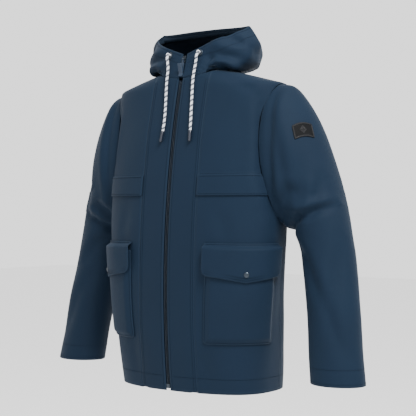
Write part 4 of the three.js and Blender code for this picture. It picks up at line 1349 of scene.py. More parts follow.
class Stitches:
    """Gathers rows of thread stitches, and makes one object of them for each body."""

    def __init__(self, name: str, body: str = "jacket", finish: Finish = Finish.THREAD) -> None:
        """Starts a set of stitches that rides one body."""
        self.name, self.body, self.finish = name, body, finish
        self.middles: list[Array] = []
        self.ways: list[Array] = []
        self.ups: list[Array] = []

    def row(self, surface: Surface, u: Array, v: Array, lift: float, side: Side = Side.LEFT,
            keep: Optional[Callable[[Array], Array]] = None, pitch: float = 3.6) -> None:
        """Adds one row of stitches along a line on a surface.

        Args:
            surface: the form that carries the cloth.
            u: first parameter along the line.
            v: second parameter along it.
            lift: millimetres out to the cloth's face.
            side: the side it is on.
            keep: leaves out stitches where this is below 0.
            pitch: millimetres from one stitch to the next.
        """
        surface.side = side
        p, n = surface.out(u, v, lift)
        length = np.concatenate([[0], np.cumsum(np.linalg.norm(np.diff(p, axis=0), axis=1))])
        stations = np.arange(pitch, length[-1] - pitch / 2, pitch)
        at = np.stack([np.interp(stations, length, p[:, k]) for k in range(3)], axis=-1)
        ahead = np.stack([np.interp(stations + 0.8, length, p[:, k]) for k in range(3)], axis=-1)
        up = np.stack([np.interp(stations, length, n[:, k]) for k in range(3)], axis=-1)
        way = ahead - at
        if keep is not None:
            ok = keep(at) > 0
            at, way, up = at[ok], way[ok], up[ok]
        flip = np.array((side.value, 1, 1))
        self.middles.append(at * flip)
        self.ways.append(way * flip)
        self.ups.append(up * flip)

    def build(self) -> bpy.types.Object:
        """Makes every stitch gathered so far.

        Returns:
            The object.
        """
        at, way, up = (np.concatenate(parts) for parts in (self.middles, self.ways, self.ups))
        way /= np.linalg.norm(way, axis=1, keepdims=True)
        up -= way * (up * way).sum(1, keepdims=True)
        up /= np.linalg.norm(up, axis=1, keepdims=True)
        across = np.cross(way, up)
        sides = 5
        rings = ((-1.35, 0.12), (-0.9, 0.42), (0.9, 0.42), (1.35, 0.12))
        angles = np.arange(sides) * TURN / sides
        template = np.array([(x, r * math.cos(a), r * math.sin(a) + 0.1) for x, r in rings for a in angles])
        vertices = (
            at[:, None] + template[None, :, :1] * way[:, None] + template[None, :, 1:2] * across[:, None]
            + template[None, :, 2:] * up[:, None]
        ).reshape(-1, 3)
        one = np.array([
            (k * sides + j, k * sides + (j + 1) % sides,
             (k + 1) * sides + (j + 1) % sides, (k + 1) * sides + j)
            for k in range(len(rings) - 1) for j in range(sides)
        ])
        faces = (one[None] + np.arange(len(at))[:, None, None] * len(template)).reshape(-1, 4)
        piece = mesh_object(self.name, vertices * MM, faces)
        self.finish.on(piece)
        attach(piece, self.body)
        log.info("%s: %d stitches", self.name, len(at))
        return piece


# ---- Torso ----


@dataclass
class Torso:
    """The body's outer panels, its lining and its hem.

    Args:
        strip_half: half the width of the two front strips together.
        yoke_edge: height of the front yoke's free edge.
        yoke_seam: height at which the front yoke is sewn down.
        back_edge: height of the back yoke's free edge.
        back_seam: height at which it is sewn down.
        yoke_lift: how far a yoke stands off what it covers.
        facing: the hem facing's height.
    """

    strip_half: float = 82.0
    yoke_edge: float = -300.0
    yoke_seam: float = -250.0
    back_edge: float = -262.0
    back_seam: float = -216.0
    yoke_lift: float = 3.3
    facing: float = 34.0
    side_seam: float = rad(100)
    shoulder_seam: float = rad(88)
    hem: float = -BodyForm.length

    @staticmethod
    def clear_of_sleeve(p: Array) -> Array:
        """Above 0 outside both sleeves."""
        return SLEEVE.level(np.concatenate([np.abs(p[..., :1]), p[..., 1:]], axis=-1)) - TRIM_GAP

    def lifted(self, z: Array, seam: float) -> Array:
        """How far a yoke is out at a height."""
        return self.yoke_lift * (1 - smooth(seam - 6, seam, z))

    @staticmethod
    def neck_at(phi: Array) -> Array:
        """The neck seam's height at an angle round the body."""
        z = np.full(np.shape(phi), BODY.neck_side)
        for _ in range(4):
            x = BODY.half(z) * np.abs(np.sin(phi)) ** (2 / BODY.section_power)
            z = np.where(np.cos(phi) > 0, BODY.neck_height_at(np.minimum(x, BODY.neck_half)), BODY.neck_side)
        return z

    def strip(self, side: Side) -> bpy.types.Object:
        """One front strip, from the zip to its stitched seam."""
        x = np.linspace(BODY.zip_half_gap, self.strip_half - 0.3, 19)
        share = np.linspace(0, 1, 160)[:, None]
        z = mixed(self.hem, BODY.neck_height_at(x)[None] - 0.3, share)
        u = BODY.phi_at(np.broadcast_to(x, z.shape), z)
        round_hem = 4 * smooth(60, 82, x)[None] * (1 - share) ** 20
        sheet = Sheet(f"strip_{side.word}", BODY, u, z + round_hem, side=side)
        use = Use(Finish.SHELL, (f"front_strip_{side.word}",), (f"zip_tape_{side.word}",))
        return put_to_use(sheet.build(), use)

    def side_front(self, side: Side) -> bpy.types.Object:
        """One lower front panel, from the strip's seam to the side seam."""
        z = np.linspace(self.hem, -259, 104)[:, None]
        share = np.linspace(0, 1, 56)[None]
        start = BODY.phi_at(np.full(z.shape, self.strip_half + 0.15), z)
        u = mixed(start, self.side_seam, share)
        sheet = Sheet(f"lower_front_{side.word}", BODY, u, z + 0 * u, level=self.clear_of_sleeve, side=side)
        use = Use(Finish.SHELL, (f"side_front_{side.word}",), (f"strip_{side.word}",))
        return put_to_use(sheet.build(), use)

    def front_yoke(self, side: Side) -> bpy.types.Object:
        """One front yoke, whose lower edge is free."""
        share = np.concatenate([np.linspace(0, 0.2, 14)[:-1], np.linspace(0.2, 1, 50)])[:, None]
        col = np.linspace(0, 1, 54)[None]
        z = mixed(self.yoke_edge, -2.0, share) + 0 * col
        for _ in range(3):
            start = BODY.phi_at(np.full(z.shape, self.strip_half + 0.15), z)
            u = mixed(start, self.shoulder_seam - 0.003, col)
            z = mixed(self.yoke_edge, self.neck_at(u[-1:]) - 0.3, share) + 0 * col
        sheet = Sheet(f"yoke_{side.word}", BODY, u, z, self.lifted(z, self.yoke_seam),
                      level=self.clear_of_sleeve, side=side)
        use = Use(Finish.SHELL, (f"front_yoke_{side.word}",), (f"lower_front_{side.word}",))
        return put_to_use(sheet.build(), use)

    def back(self) -> bpy.types.Object:
        """The lower back panel, in one piece."""
        u, z = grid(np.linspace(self.side_seam + 0.007, TURN - self.side_seam - 0.007, 121),
                    np.linspace(self.hem, -225, 110))
        sheet = Sheet("lower_back", BODY, u, z, level=self.clear_of_sleeve)
        use = Use(Finish.SHELL, ("back_panel",), ("lower_front_left", "lower_front_right"))
        return put_to_use(sheet.build(), use)

    def back_yoke(self) -> bpy.types.Object:
        """The back yoke, whose lower edge is free."""
        u, z = grid(np.linspace(self.shoulder_seam + 0.003, TURN - self.shoulder_seam - 0.003, 117),
                    np.concatenate([np.linspace(self.back_edge, -210, 16)[:-1], np.linspace(-210, -1.3, 48)]))
        lift = self.lifted(z, self.back_seam)
        sheet = Sheet("back_yoke_cloth", BODY, u, z, lift, level=self.clear_of_sleeve)
        use = Use(Finish.SHELL, ("back_yoke",), ("yoke_left", "yoke_right", "lower_back"))
        return put_to_use(sheet.build(), use)

    def lining(self, side: Side) -> bpy.types.Object:
        """Half of the lining."""
        z = np.linspace(-720, -46, 90)[:, None]
        share = np.linspace(0, 1, 80)[None]
        start = BODY.phi_at(np.full(z.shape, 50.0), z)
        u = mixed(start, math.pi - 0.003, share)
        depth = LINED + LINING_EASE * smooth(0, 0.12, share)
        sheet = Sheet(f"lining_{side.word}", BODY, u, z + 0 * u, -depth + 0 * u,
                      LINING, self.clear_of_sleeve, side=side)
        use = Use(Finish.LINING, (f"body_lining_{side.word}",), (f"strip_{side.word}",))
        return put_to_use(sheet.build(), use)

    def hem_band(self) -> bpy.types.Object:
        """The facing inside the hem."""
        z = np.linspace(self.hem + 0.2, self.hem + self.facing - 1, 9)[:, None]
        start = BODY.phi_at(np.full(z.shape, 46.0), z)
        u = mixed(start, TURN - start, np.linspace(0, 1, 260)[None])
        sheet = Sheet("hem_band", BODY, u, z + 0 * u, -LINED - SEAM_GAP, LINING)
        use = Use(Finish.SHELL, ("hem_facing",), ("lower_back",))
        return put_to_use(sheet.build(), use)

    def stitch(self, rows: Stitches) -> None:
        """Adds the torso's rows of topstitching."""
        z = np.linspace(self.hem + 2, -24, 300)
        over = np.linspace(rad(2), self.side_seam, 200)
        for side in Side:
            for x in (self.strip_half - 3, self.strip_half - 9, BODY.zip_half_gap + 6):
                rows.row(BODY, BODY.phi_at(np.full(z.shape, x), z), z, 0, side)
            across = np.linspace(float(BODY.phi_at(np.array(84.0), np.array(-250.0))), rad(88), 120)
            for height in (self.yoke_seam, self.yoke_seam - 6, self.yoke_edge + 4):
                level = self.lifted(np.array(height), self.yoke_seam)
                rows.row(BODY, across, np.full(across.shape, height), float(level), side,
                         self.clear_of_sleeve)
            rows.row(BODY, over, np.full(over.shape, self.hem + self.facing), 0, side)
            low = np.linspace(self.hem + 4, -300, 200)
            rows.row(BODY, np.full(low.shape, self.side_seam - 0.02), low, 0, side, self.clear_of_sleeve)
        behind = np.linspace(self.side_seam, TURN - self.side_seam, 260)
        rows.row(BODY, behind, np.full(behind.shape, self.hem + self.facing), 0)
        for height in (self.back_seam, self.back_edge + 4):
            level = float(self.lifted(np.array(height), self.back_seam))
            rows.row(BODY, behind, np.full(behind.shape, height), level, keep=self.clear_of_sleeve)

    def build(self, rows: Stitches) -> None:
        """Makes the whole torso."""
        for side in Side:
            self.strip(side)
            self.side_front(side)
            self.front_yoke(side)
            self.lining(side)
        self.back()
        self.back_yoke()
        self.hem_band()
        self.stitch(rows)


# ---- Sleeves ----


def clear_of_body(p: Array) -> Array:
    """Above 0 outside the body, where a sleeve is kept."""
    return BODY.level(p) - TRIM_GAP


@dataclass
class Sleeve:
    """One sleeve with its cuff facing; the left one carries the badge.

    Args:
        side: the side it is on.
        bend_from: a distance out from the middle, in metres; not used.
        bend_to: distance out from the middle, in metres, inside which the rows of stitches along the arm are
            left out.
    """

    side: Side
    bend_from: float = 0.238
    bend_to: float = 0.29

    def build(self) -> None:
        """Makes the sleeve and what is on it."""
        word, sign = self.side.word, self.side.value
        body = f"sleeve_{word}"
        rows_along = along((-0.08, 0), (0.04, 18), (0.40, 62), (0.56, 46), (1.0, 74))
        u, v = grid(np.arange(104) * TURN / 104, rows_along)
        tube = Sheet(f"arm_{word}", SLEEVE, u, v, 0.0, FABRIC, clear_of_body, closed=True, side=self.side)
        sewn_to = (f"yoke_{word}", f"lower_front_{word}")
        use = Use(Finish.SHELL, (f"sleeve_{word}",), sewn_to, held="hung")
        arm = put_to_use(tube.build(), use, ride=False)
        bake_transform(arm)
        u, v = grid(np.arange(72) * TURN / 72, np.linspace(0.961, 0.9985, 8))
        cuff = Sheet(f"cuff_band_{word}", SLEEVE, u, v, -LINED, LINING, closed=True, side=self.side)
        put_to_use(cuff.build(), Use(Finish.SHELL, (f"cuff_facing_{word}",), (f"arm_{word}",), body, "hung"))
        rows = Stitches(f"arm_stitches_{word}", body)
        round_arm = np.linspace(0, TURN, 200)
        for t in (0.957, 0.9935):
            rows.row(SLEEVE, round_arm, np.full(round_arm.shape, t), 0, self.side)
        along_arm = np.linspace(0.12, 0.95, 260)
        for turn in (rad(168), rad(96)):
            rows.row(SLEEVE, np.full(along_arm.shape, turn), along_arm, 0, self.side,
                     lambda p: np.abs(p[..., 0]) - self.bend_to * 1000)
        rows.build()
        if self.side is Side.LEFT:
            self.badge()

    def badge(self) -> None:
        """Sews the woven badge on, with its raised border and a plain diamond."""
        middle_u, middle_v, tilt = -0.62, 0.235, 0.1
        h = 1e-3
        along_u = (SLEEVE.point(middle_u + h, middle_v) - SLEEVE.point(middle_u - h, middle_v)) / (2 * h)
        along_v = (SLEEVE.point(middle_u, middle_v + h) - SLEEVE.point(middle_u, middle_v - h)) / (2 * h)
        out = SLEEVE.normal(np.array(middle_u), np.array(middle_v))
        level = np.cross((0, 0, 1), out)
        level /= np.linalg.norm(level)
        first = level
        second = np.cross(out, level)
        turn = np.array([[math.cos(tilt), -math.sin(tilt)], [math.sin(tilt), math.cos(tilt)]])
        back = np.linalg.pinv(np.stack([along_u, along_v], axis=1))

        def spot(a: Array, b: Array) -> tuple[Array, Array]:
            a, b = np.broadcast_arrays(np.asarray(a, float), np.asarray(b, float))
            ab = np.stack([a, b], axis=-1) @ turn.T
            world = ab[..., :1] * first + ab[..., 1:] * second
            uv = world @ back.T
            return middle_u + uv[..., 0], middle_v + uv[..., 1]

        a, b = grid(np.linspace(-25, 25, 35), np.linspace(-16.5, 16.5, 25))
        corner = 1 - 0.04 * (np.abs(a) / 25) ** 6 * (np.abs(b) / 16.5) ** 6
        u, v = spot(a * corner, b * corner)
        patch = Sheet("badge_cloth", SLEEVE, u, v, 1.9, 1.4)
        put_to_use(patch.build(), Use(Finish.BADGE, ("sleeve_badge",), ("arm_left",), "sleeve_left", "laid"))
        rows = Stitches("badge_border", "sleeve_left", Finish.BADGE_THREAD)
        t = np.linspace(-1, 1, 60)
        flat = np.full(t.shape, 1.0)
        for inset in (1.0, 1.9, 2.8):
            x, y = 25 - inset, 16.5 - inset
            for line in ((t * x, -flat * y), (flat * x, t * y), (-t * x, flat * y), (-flat * x, -t * y)):
                rows.row(SLEEVE, *spot(*line), 2.1, pitch=1.7)
        for size in np.arange(2.0, 9.5, 1.3):
            for line in ((t * size, size - np.abs(t) * size), (t * size, np.abs(t) * size - size)):
                rows.row(SLEEVE, *spot(*line), 1.95, pitch=1.7)
        rows.build()


# ---- Hood ----


@dataclass
class Hood:
    """The hood's panels, its lining and its cord tunnel."""

    centre_seam: float = rad(140)

    def theta(self, low: float, high: float, count: int) -> Array:
        """Angles between two, closer together near the front."""
        return mixed(low, high, np.linspace(0, 1, count) ** 1.15)

    def panel(self, side: Side) -> bpy.types.Object:
        """One side of the hood."""
        u, v = grid(self.theta(0.0005, self.centre_seam - 0.004, 84), along((0, 0), (0.9, 40), (1, 10)))
        sheet = Sheet(f"hood_panel_{side.word}", HOOD, u, v, side=side)
        use = Use(Finish.SHELL, (f"hood_side_{side.word}",), (f"strip_{side.word}", "back_yoke_cloth"))
        return put_to_use(sheet.build(), use)

    def centre(self) -> bpy.types.Object:
        """The hood's middle panel."""
        start = self.centre_seam + 0.004
        u, v = grid(np.linspace(start, TURN - start, 44), along((0, 0), (0.9, 40), (1, 10)))
        sheet = Sheet("hood_middle", HOOD, u, v)
        use = Use(Finish.SHELL, ("hood_centre",), ("hood_panel_left", "hood_panel_right"))
        return put_to_use(sheet.build(), use)

    def lining(self) -> bpy.types.Object:
        """The hood's lining, in one piece."""
        u = mixed(rad(16), TURN - rad(16), np.linspace(0, 1, 150))[None]
        v = mixed(0.03, HOOD.below_rim(u, 28), np.linspace(0, 1, 40)[:, None])
        near = np.minimum(u, TURN - u)
        lift = -LINED - LINING_EASE * smooth(rad(12), rad(30), near) + 0 * v
        sheet = Sheet("hood_lining_cloth", HOOD, u + 0 * v, v, lift, LINING)
        use = Use(Finish.LINING, ("hood_lining_left", "hood_lining_right"), ("hood_middle",))
        return put_to_use(sheet.build(), use)

    def tunnel(self) -> bpy.types.Object:
        """The tunnel inside the rim, for the drawcord."""
        u = mixed(rad(12), TURN - rad(12), np.linspace(0, 1, 170))[None]
        places = np.array([24, 22, 20, 17, 14.5, 12, 9.5, 7, 4, 2, 1])[:, None]
        depths = np.array([3.0, 3.0, 6.5, 9.6, 10.9, 11.2, 10.9, 9.6, 6.5, 3.0, 3.0])[:, None]
        v = 1 - (1 - HOOD.below_rim(u, 1.0)) * places
        sheet = Sheet("cord_tunnel", HOOD, u + 0 * v, v, -depths + 0 * v, LINING)
        use = Use(Finish.LINING, ("hood_tunnel_left", "hood_tunnel_right"), ("hood_middle",))
        return put_to_use(sheet.build(), use)

    def stitch(self, rows: Stitches) -> None:
        """Adds the hood's rows of topstitching."""
        around = np.linspace(0.03, TURN / 2, 300)
        for side in Side:
            for distance in (5.0, 26.0):
                rows.row(HOOD, around, HOOD.below_rim(around, distance), 0, side)
            rows.row(HOOD, around, np.full(around.shape, 0.03), 0, side)
            up = np.linspace(0.02, 0.98, 120)
            for turn in (self.centre_seam - 0.035, self.centre_seam + 0.035):
                rows.row(HOOD, np.full(up.shape, turn), up, 0, side)

    def build(self, rows: Stitches) -> None:
        """Makes the whole hood."""
        for side in Side:
            self.panel(side)
        self.centre()
        self.lining()
        self.tunnel()
        self.stitch(rows)


# ---- Drawcord ----


@dataclass
class Drawcord:
    """The two-colour rope with an end hanging from each eyelet."""

    diameter: float = 6.4
    eyelet: Point = (44.77, -57.40, 37.51)
    outward: Point = (0.123, -0.965, 0.233)
    swing: Point = (45.54, -63.47, 38.98)
    routes: dict = field(default_factory=lambda: {
        Side.LEFT: (
            (45.6, -70.8, 34.3), (45.2, -72.8, 29), (44.4, -73.3, 21), (42.8, -74.2, 8), (41.5, -77.4, -8),
            (41.6, -81.7, -26), (43, -85.8, -46), (45, -90, -66), (47, -94.2, -86), (49, -98.3, -106),
            (50.8, -102.2, -126), (52, -105, -141), (52.8, -107.3, -154)),
        Side.RIGHT: (
            (-44.6, -70.8, 34.3), (-43.4, -72.8, 29), (-41.9, -73.3, 21), (-39.6, -74.2, 8),
            (-38.2, -77.4, -8), (-37.2, -81.8, -26), (-35.2, -86, -46), (-32.8, -90.4, -66),
            (-30.6, -94.7, -86), (-28.8, -98.8, -106), (-28.2, -102.7, -126), (-29, -105.4, -141),
            (-30, -107.7, -153)),
    })

    @staticmethod
    def resampled(points: Array, step: float) -> Array:
        """Points a step apart on a smooth curve through some points."""
        length = np.concatenate([[0], np.cumsum(np.linalg.norm(np.diff(points, axis=0), axis=1))])
        curves = [Through(list(zip(length, points[:, k]))) for k in range(3)]
        s = np.linspace(0, length[-1], max(int(length[-1] / step), 8))
        return np.stack([curve(s) for curve in curves], axis=-1)

    def rope(self, name: str, centre: Array, sides: int = 24, pitch: float = 13.0) -> bpy.types.Object:
        """A twisted rope along a centreline.

        Args:
            name: the object's name.
            centre: places on the centreline, in millimetres.
            sides: points round each ring.
            pitch: length of one turn of the twist.

        Returns:
            The object.
        """
        way = np.gradient(centre, axis=0)
        way /= np.linalg.norm(way, axis=1, keepdims=True)
        first = np.empty_like(way)
        start = np.cross(way[0], (0.3, 0.2, 1.0))
        for i, w in enumerate(way):
            start = start - w * (start @ w)
            start /= np.linalg.norm(start)
            first[i] = start
        second = np.cross(way, first)
        s = np.concatenate([[0], np.cumsum(np.linalg.norm(np.diff(centre, axis=0), axis=1))])
        angle = np.arange(sides) * TURN / sides
        strand = angle[None] - TURN * s[:, None] / pitch
        radius = self.diameter / 2 * (0.93 + 0.07 * np.abs(np.cos(strand * 1.5)))
        p = centre[:, None] + radius[..., None] * (
            np.cos(angle)[None, :, None] * first[:, None] + np.sin(angle)[None, :, None] * second[:, None])
        rows = len(centre)
        index = np.arange(rows * sides).reshape(rows, sides)
        beside = np.roll(index, -1, axis=1)
        faces = np.stack([index[:-1], beside[:-1], beside[1:], index[1:]], axis=-1).reshape(-1, 4)
        caps, extra = [], [centre[0], centre[-1]]
        for k, ring in enumerate((index[0], index[-1])):
            for j in range(0, sides, 2):
                a, b, c = ring[j], ring[(j + 1) % sides], ring[(j + 2) % sides]
                caps.append((rows * sides + k, c, b, a) if k == 0 else (rows * sides + k, a, b, c))
        vertices = np.concatenate([p.reshape(-1, 3), np.array(extra)])
        uv = np.stack(np.broadcast_arrays(angle[None] / TURN * 0.02, s[:, None] * MM), axis=-1).reshape(-1, 2)
        uv = np.concatenate([uv, uv[[0, -1]]])
        value = 0.5 + 0.5 * np.cos(strand) - 0.18
        value = np.concatenate([value.ravel(), [0.5, 0.5]])
        piece = mesh_object(name, vertices * MM, np.concatenate([faces, np.array(caps)]), uv,
                            {"strand": value, "edge": np.zeros(len(vertices))})
        if volume_of(piece) < 0:
            piece.data.flip_normals()
        return Finish.ROPE.on(piece)

    def free_end(self, side: Side) -> None:
        """One hanging end with its tip."""
        flip = np.array((side.value, 1, 1))
        swing = np.array(self.swing) * flip
        out = np.array(self.outward) * flip
        points = np.concatenate([[swing, swing + out * 4.48], np.array(self.routes[side])])
        centre = self.resampled(points, 0.9)
        rope = self.rope(f"rope_end_{side.word}", centre)
        tip = self.tip(side, centre)
        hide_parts(f"drawcord_{side.word}")
        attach(rope, f"cord_{side.word}")

    def tip(self, side: Side, centre: Array) -> bpy.types.Object:
        """The shrunk tip on the end of a rope, turned round its own axis."""
        way = centre[-1] - centre[-3]
        way /= np.linalg.norm(way)
        profile = (
            (0.0, -6.0), (3.3, -6.0), (3.62, -5.4), (3.5, 4), (3.4, 12), (3.5, 18),
            (3.3, 19.4), (2.6, 20.1), (0.0, 20.2),
        )
        piece = turned(f"rope_tip_{side.word}", profile, Vector(centre[-1]), Vector(way), 28)
        Finish.TIP.on(piece)
        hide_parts(f"cord_tip_{side.word}")
        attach(piece, f"cord_{side.word}")
        return piece

    def hidden(self) -> None:
        """The length that runs in the tunnel, from eyelet to eyelet."""
        out = np.array(self.outward)
        inward = [np.array(self.eyelet) + out * d for d in (2.8, -0.5, -3.4, -5.6)]
        turns = np.radians((34, 45, 58, 72, 84, 93, 100, 107, 118, 132, 150, 170))
        HOOD.side = Side.LEFT
        share = HOOD.below_rim(turns, 12)
        run = HOOD.point(turns, share) - 6.8 * HOOD.normal(turns, share)
        half = np.concatenate([inward, run])
        centre = self.resampled(np.concatenate([half, half[::-1] * (-1, 1, 1)]), 2.5)
        rope = self.rope("rope_in_tunnel", centre, 14)
        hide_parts("drawcord_inside")
        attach(rope, "jacket")

    def build(self) -> None:
        """Makes both ends and the hidden length."""
        for side in Side:
            self.free_end(side)
        self.hidden()


def turned(
    name: str, profile: Sequence[tuple[float, float]], at: Vector, way: Vector, steps: int = 32,
) -> bpy.types.Object:
    """A piece turned round an axis, by spinning its profile.

    Args:
        name: the object's name.
        profile: (radius, height along the axis) of each point, in millimetres.
        at: where height 0 is, in millimetres.
        way: the axis.
        steps: steps in the turn.

    Returns:
        The object, with its place in its mesh.
    """
    bpy.ops.object.select_all(action="DESELECT")
    mesh = bpy.data.meshes.new(name)
    edges = [(k, k + 1) for k in range(len(profile) - 1)]
    mesh.from_pydata([(r * MM, 0, h * MM) for r, h in profile], edges, [])
    piece = bpy.data.objects.new(name, mesh)
    bpy.context.scene.collection.objects.link(piece)
    piece.select_set(True)
    bpy.context.view_layer.objects.active = piece
    bpy.ops.object.mode_set(mode="EDIT")
    bpy.ops.mesh.select_all(action="SELECT")
    bpy.ops.mesh.spin(steps=steps, angle=TURN, center=(0, 0, 0), axis=(0, 0, 1))
    bpy.ops.mesh.select_all(action="SELECT")
    bpy.ops.mesh.remove_doubles(threshold=1e-6)
    bpy.ops.mesh.normals_make_consistent(inside=False)
    bpy.ops.object.mode_set(mode="OBJECT")
    piece.data.transform(Matrix.Translation(at * MM) @ way.to_track_quat("Z", "Y").to_matrix().to_4x4())
    bpy.ops.object.shade_smooth_by_angle(angle=rad(40))
    for modifier in list(piece.modifiers):
        bpy.ops.object.modifier_apply(modifier=modifier.name)
    return piece


# ---- Zip ----


@dataclass
class Zip:
    """Two coils on their tapes, the storm flap, the slider and its soft pull."""

    foot: float = 15.0
    top: float = -30.0
    pitch: float = 1.7

    def tape(self, side: Side) -> bpy.types.Object:
        """One woven tape."""
        x, z = grid(np.linspace(1.6, 20, 8), np.linspace(-BodyForm.length + self.foot - 6, self.top + 4, 140))
        sheet = Sheet(f"tape_{side.word}", BODY, BODY.phi_at(x, z), z, -3.1, 0.8, side=side)
        use = Use(Finish.WEBBING, (f"zip_tape_{side.word}",), (f"strip_{side.word}",))
        return put_to_use(sheet.build(), use)

    def coil(self, side: Side) -> bpy.types.Object:
        """One coil: a loop modelled once, then repeated along the zip line."""
        bpy.ops.object.select_all(action="DESELECT")
        bpy.ops.mesh.primitive_torus_add(
            major_segments=10, minor_segments=6, major_radius=0.00066, minor_radius=0.00036,
            rotation=(rad(90), 0, rad(90)))
        loop = bpy.context.object
        bpy.ops.object.transform_apply(location=True, rotation=True, scale=True)
        co = np.array([v.co for v in loop.data.vertices]) / MM
        co = co[:, [1, 2, 0]] * (1.0, 0.85, 1.3)
        faces = np.array([p.vertices[:] for p in loop.data.polygons])
        bpy.data.objects.remove(loop)
        offset = self.pitch / 2 if side is Side.RIGHT else 0
        z = np.arange(-BodyForm.length + self.foot + offset, self.top, self.pitch)
        BODY.side = side
        x = np.full(z.shape, 1.95)
        p, n = BODY.out(BODY.phi_at(x, z), z, -1.8)
        up = np.array((0, 0, 1.0)) - n * n[:, 2:]
        up /= np.linalg.norm(up, axis=1, keepdims=True)
        across = np.cross(up, n)
        at = (p[:, None] + co[None, :, :1] * across[:, None] + co[None, :, 1:2] * n[:, None]
              + co[None, :, 2:] * up[:, None]).reshape(-1, 3)
        all_faces = (faces[None] + np.arange(len(z))[:, None, None] * len(co)).reshape(-1, 4)
        if side is Side.RIGHT:
            at, all_faces = at * (-1, 1, 1), all_faces[:, ::-1]
        piece = mesh_object(f"coil_{side.word}", at * MM, all_faces)
        if volume_of(piece) < 0:
            piece.data.flip_normals()
        Finish.COIL.on(piece)
        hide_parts(f"zip_coil_{side.word}")
        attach(piece, "jacket")
        return piece

    def storm_flap(self) -> bpy.types.Object:
        """The inner flap behind the zip."""
        x, z = grid(np.linspace(-16, 40, 24), np.linspace(-BodyForm.length + 4, -24, 150))
        depth = np.where(x < 22, 8.4, mixed(8.4, 2.8, np.clip((x - 22) / 5, 0, 1)))
        sheet = Sheet("storm_flap_cloth", BODY, np.sign(x) * BODY.phi_at(x, z), z, -depth, LINING)
        use = Use(Finish.SHELL, ("storm_flap",), ("strip_left",))
        return put_to_use(sheet.build(), use)

    def pull(self) -> None:
        """The soft tab that hangs from the slider, over its CAD core."""
        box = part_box("zip_pull")
        low, high = np.array(box[0]), np.array(box[1])
        middle = (low + high) / 2
        bpy.ops.object.select_all(action="DESELECT")
        bpy.ops.mesh.primitive_cube_add(size=1, location=(0, 0, 0))
        tab = bpy.context.object
        tab.name = "pull_tab"
        size = np.array((0.0122, 0.0030, 0.031))
        bpy.ops.transform.resize(value=tuple(size))
        bpy.ops.object.transform_apply(location=True, rotation=True, scale=True)
        bpy.ops.object.mode_set(mode="EDIT")
        bpy.ops.mesh.select_all(action="SELECT")
        bpy.ops.mesh.bevel(offset=0.0014, segments=4, affect="EDGES")
        bpy.ops.object.mode_set(mode="OBJECT")
        BODY.side = Side.LEFT
        place = Vector((0.0, float(low[1] + 0.0014), float(low[2] + size[2] / 2 + 0.0005)))
        lean = float(BODY.front_slope(np.array(place.z * 1000)))
        tab.data.transform(Matrix.Translation(place) @ Matrix.Rotation(lean, 4, "X"))
        for polygon in tab.data.polygons:
            polygon.use_smooth = True
        Finish.PULL.on(tab)
        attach(tab, "pull")
        log.info("pull_tab: over a core at %s", np.round(middle, 4).tolist())

    def build(self) -> None:
        """Makes the zip's cloth and coils, and dresses its hardware."""
        for side in Side:
            self.tape(side)
            self.coil(side)
            Finish.METAL.on_node(f"zip_top_stop_{side.word}")
        self.storm_flap()
        for node in ("zip_slider", "zip_bottom_box"):
            Finish.METAL.on_node(node)
        Finish.PULL.on_node("zip_pull")


# ---- Pockets ----


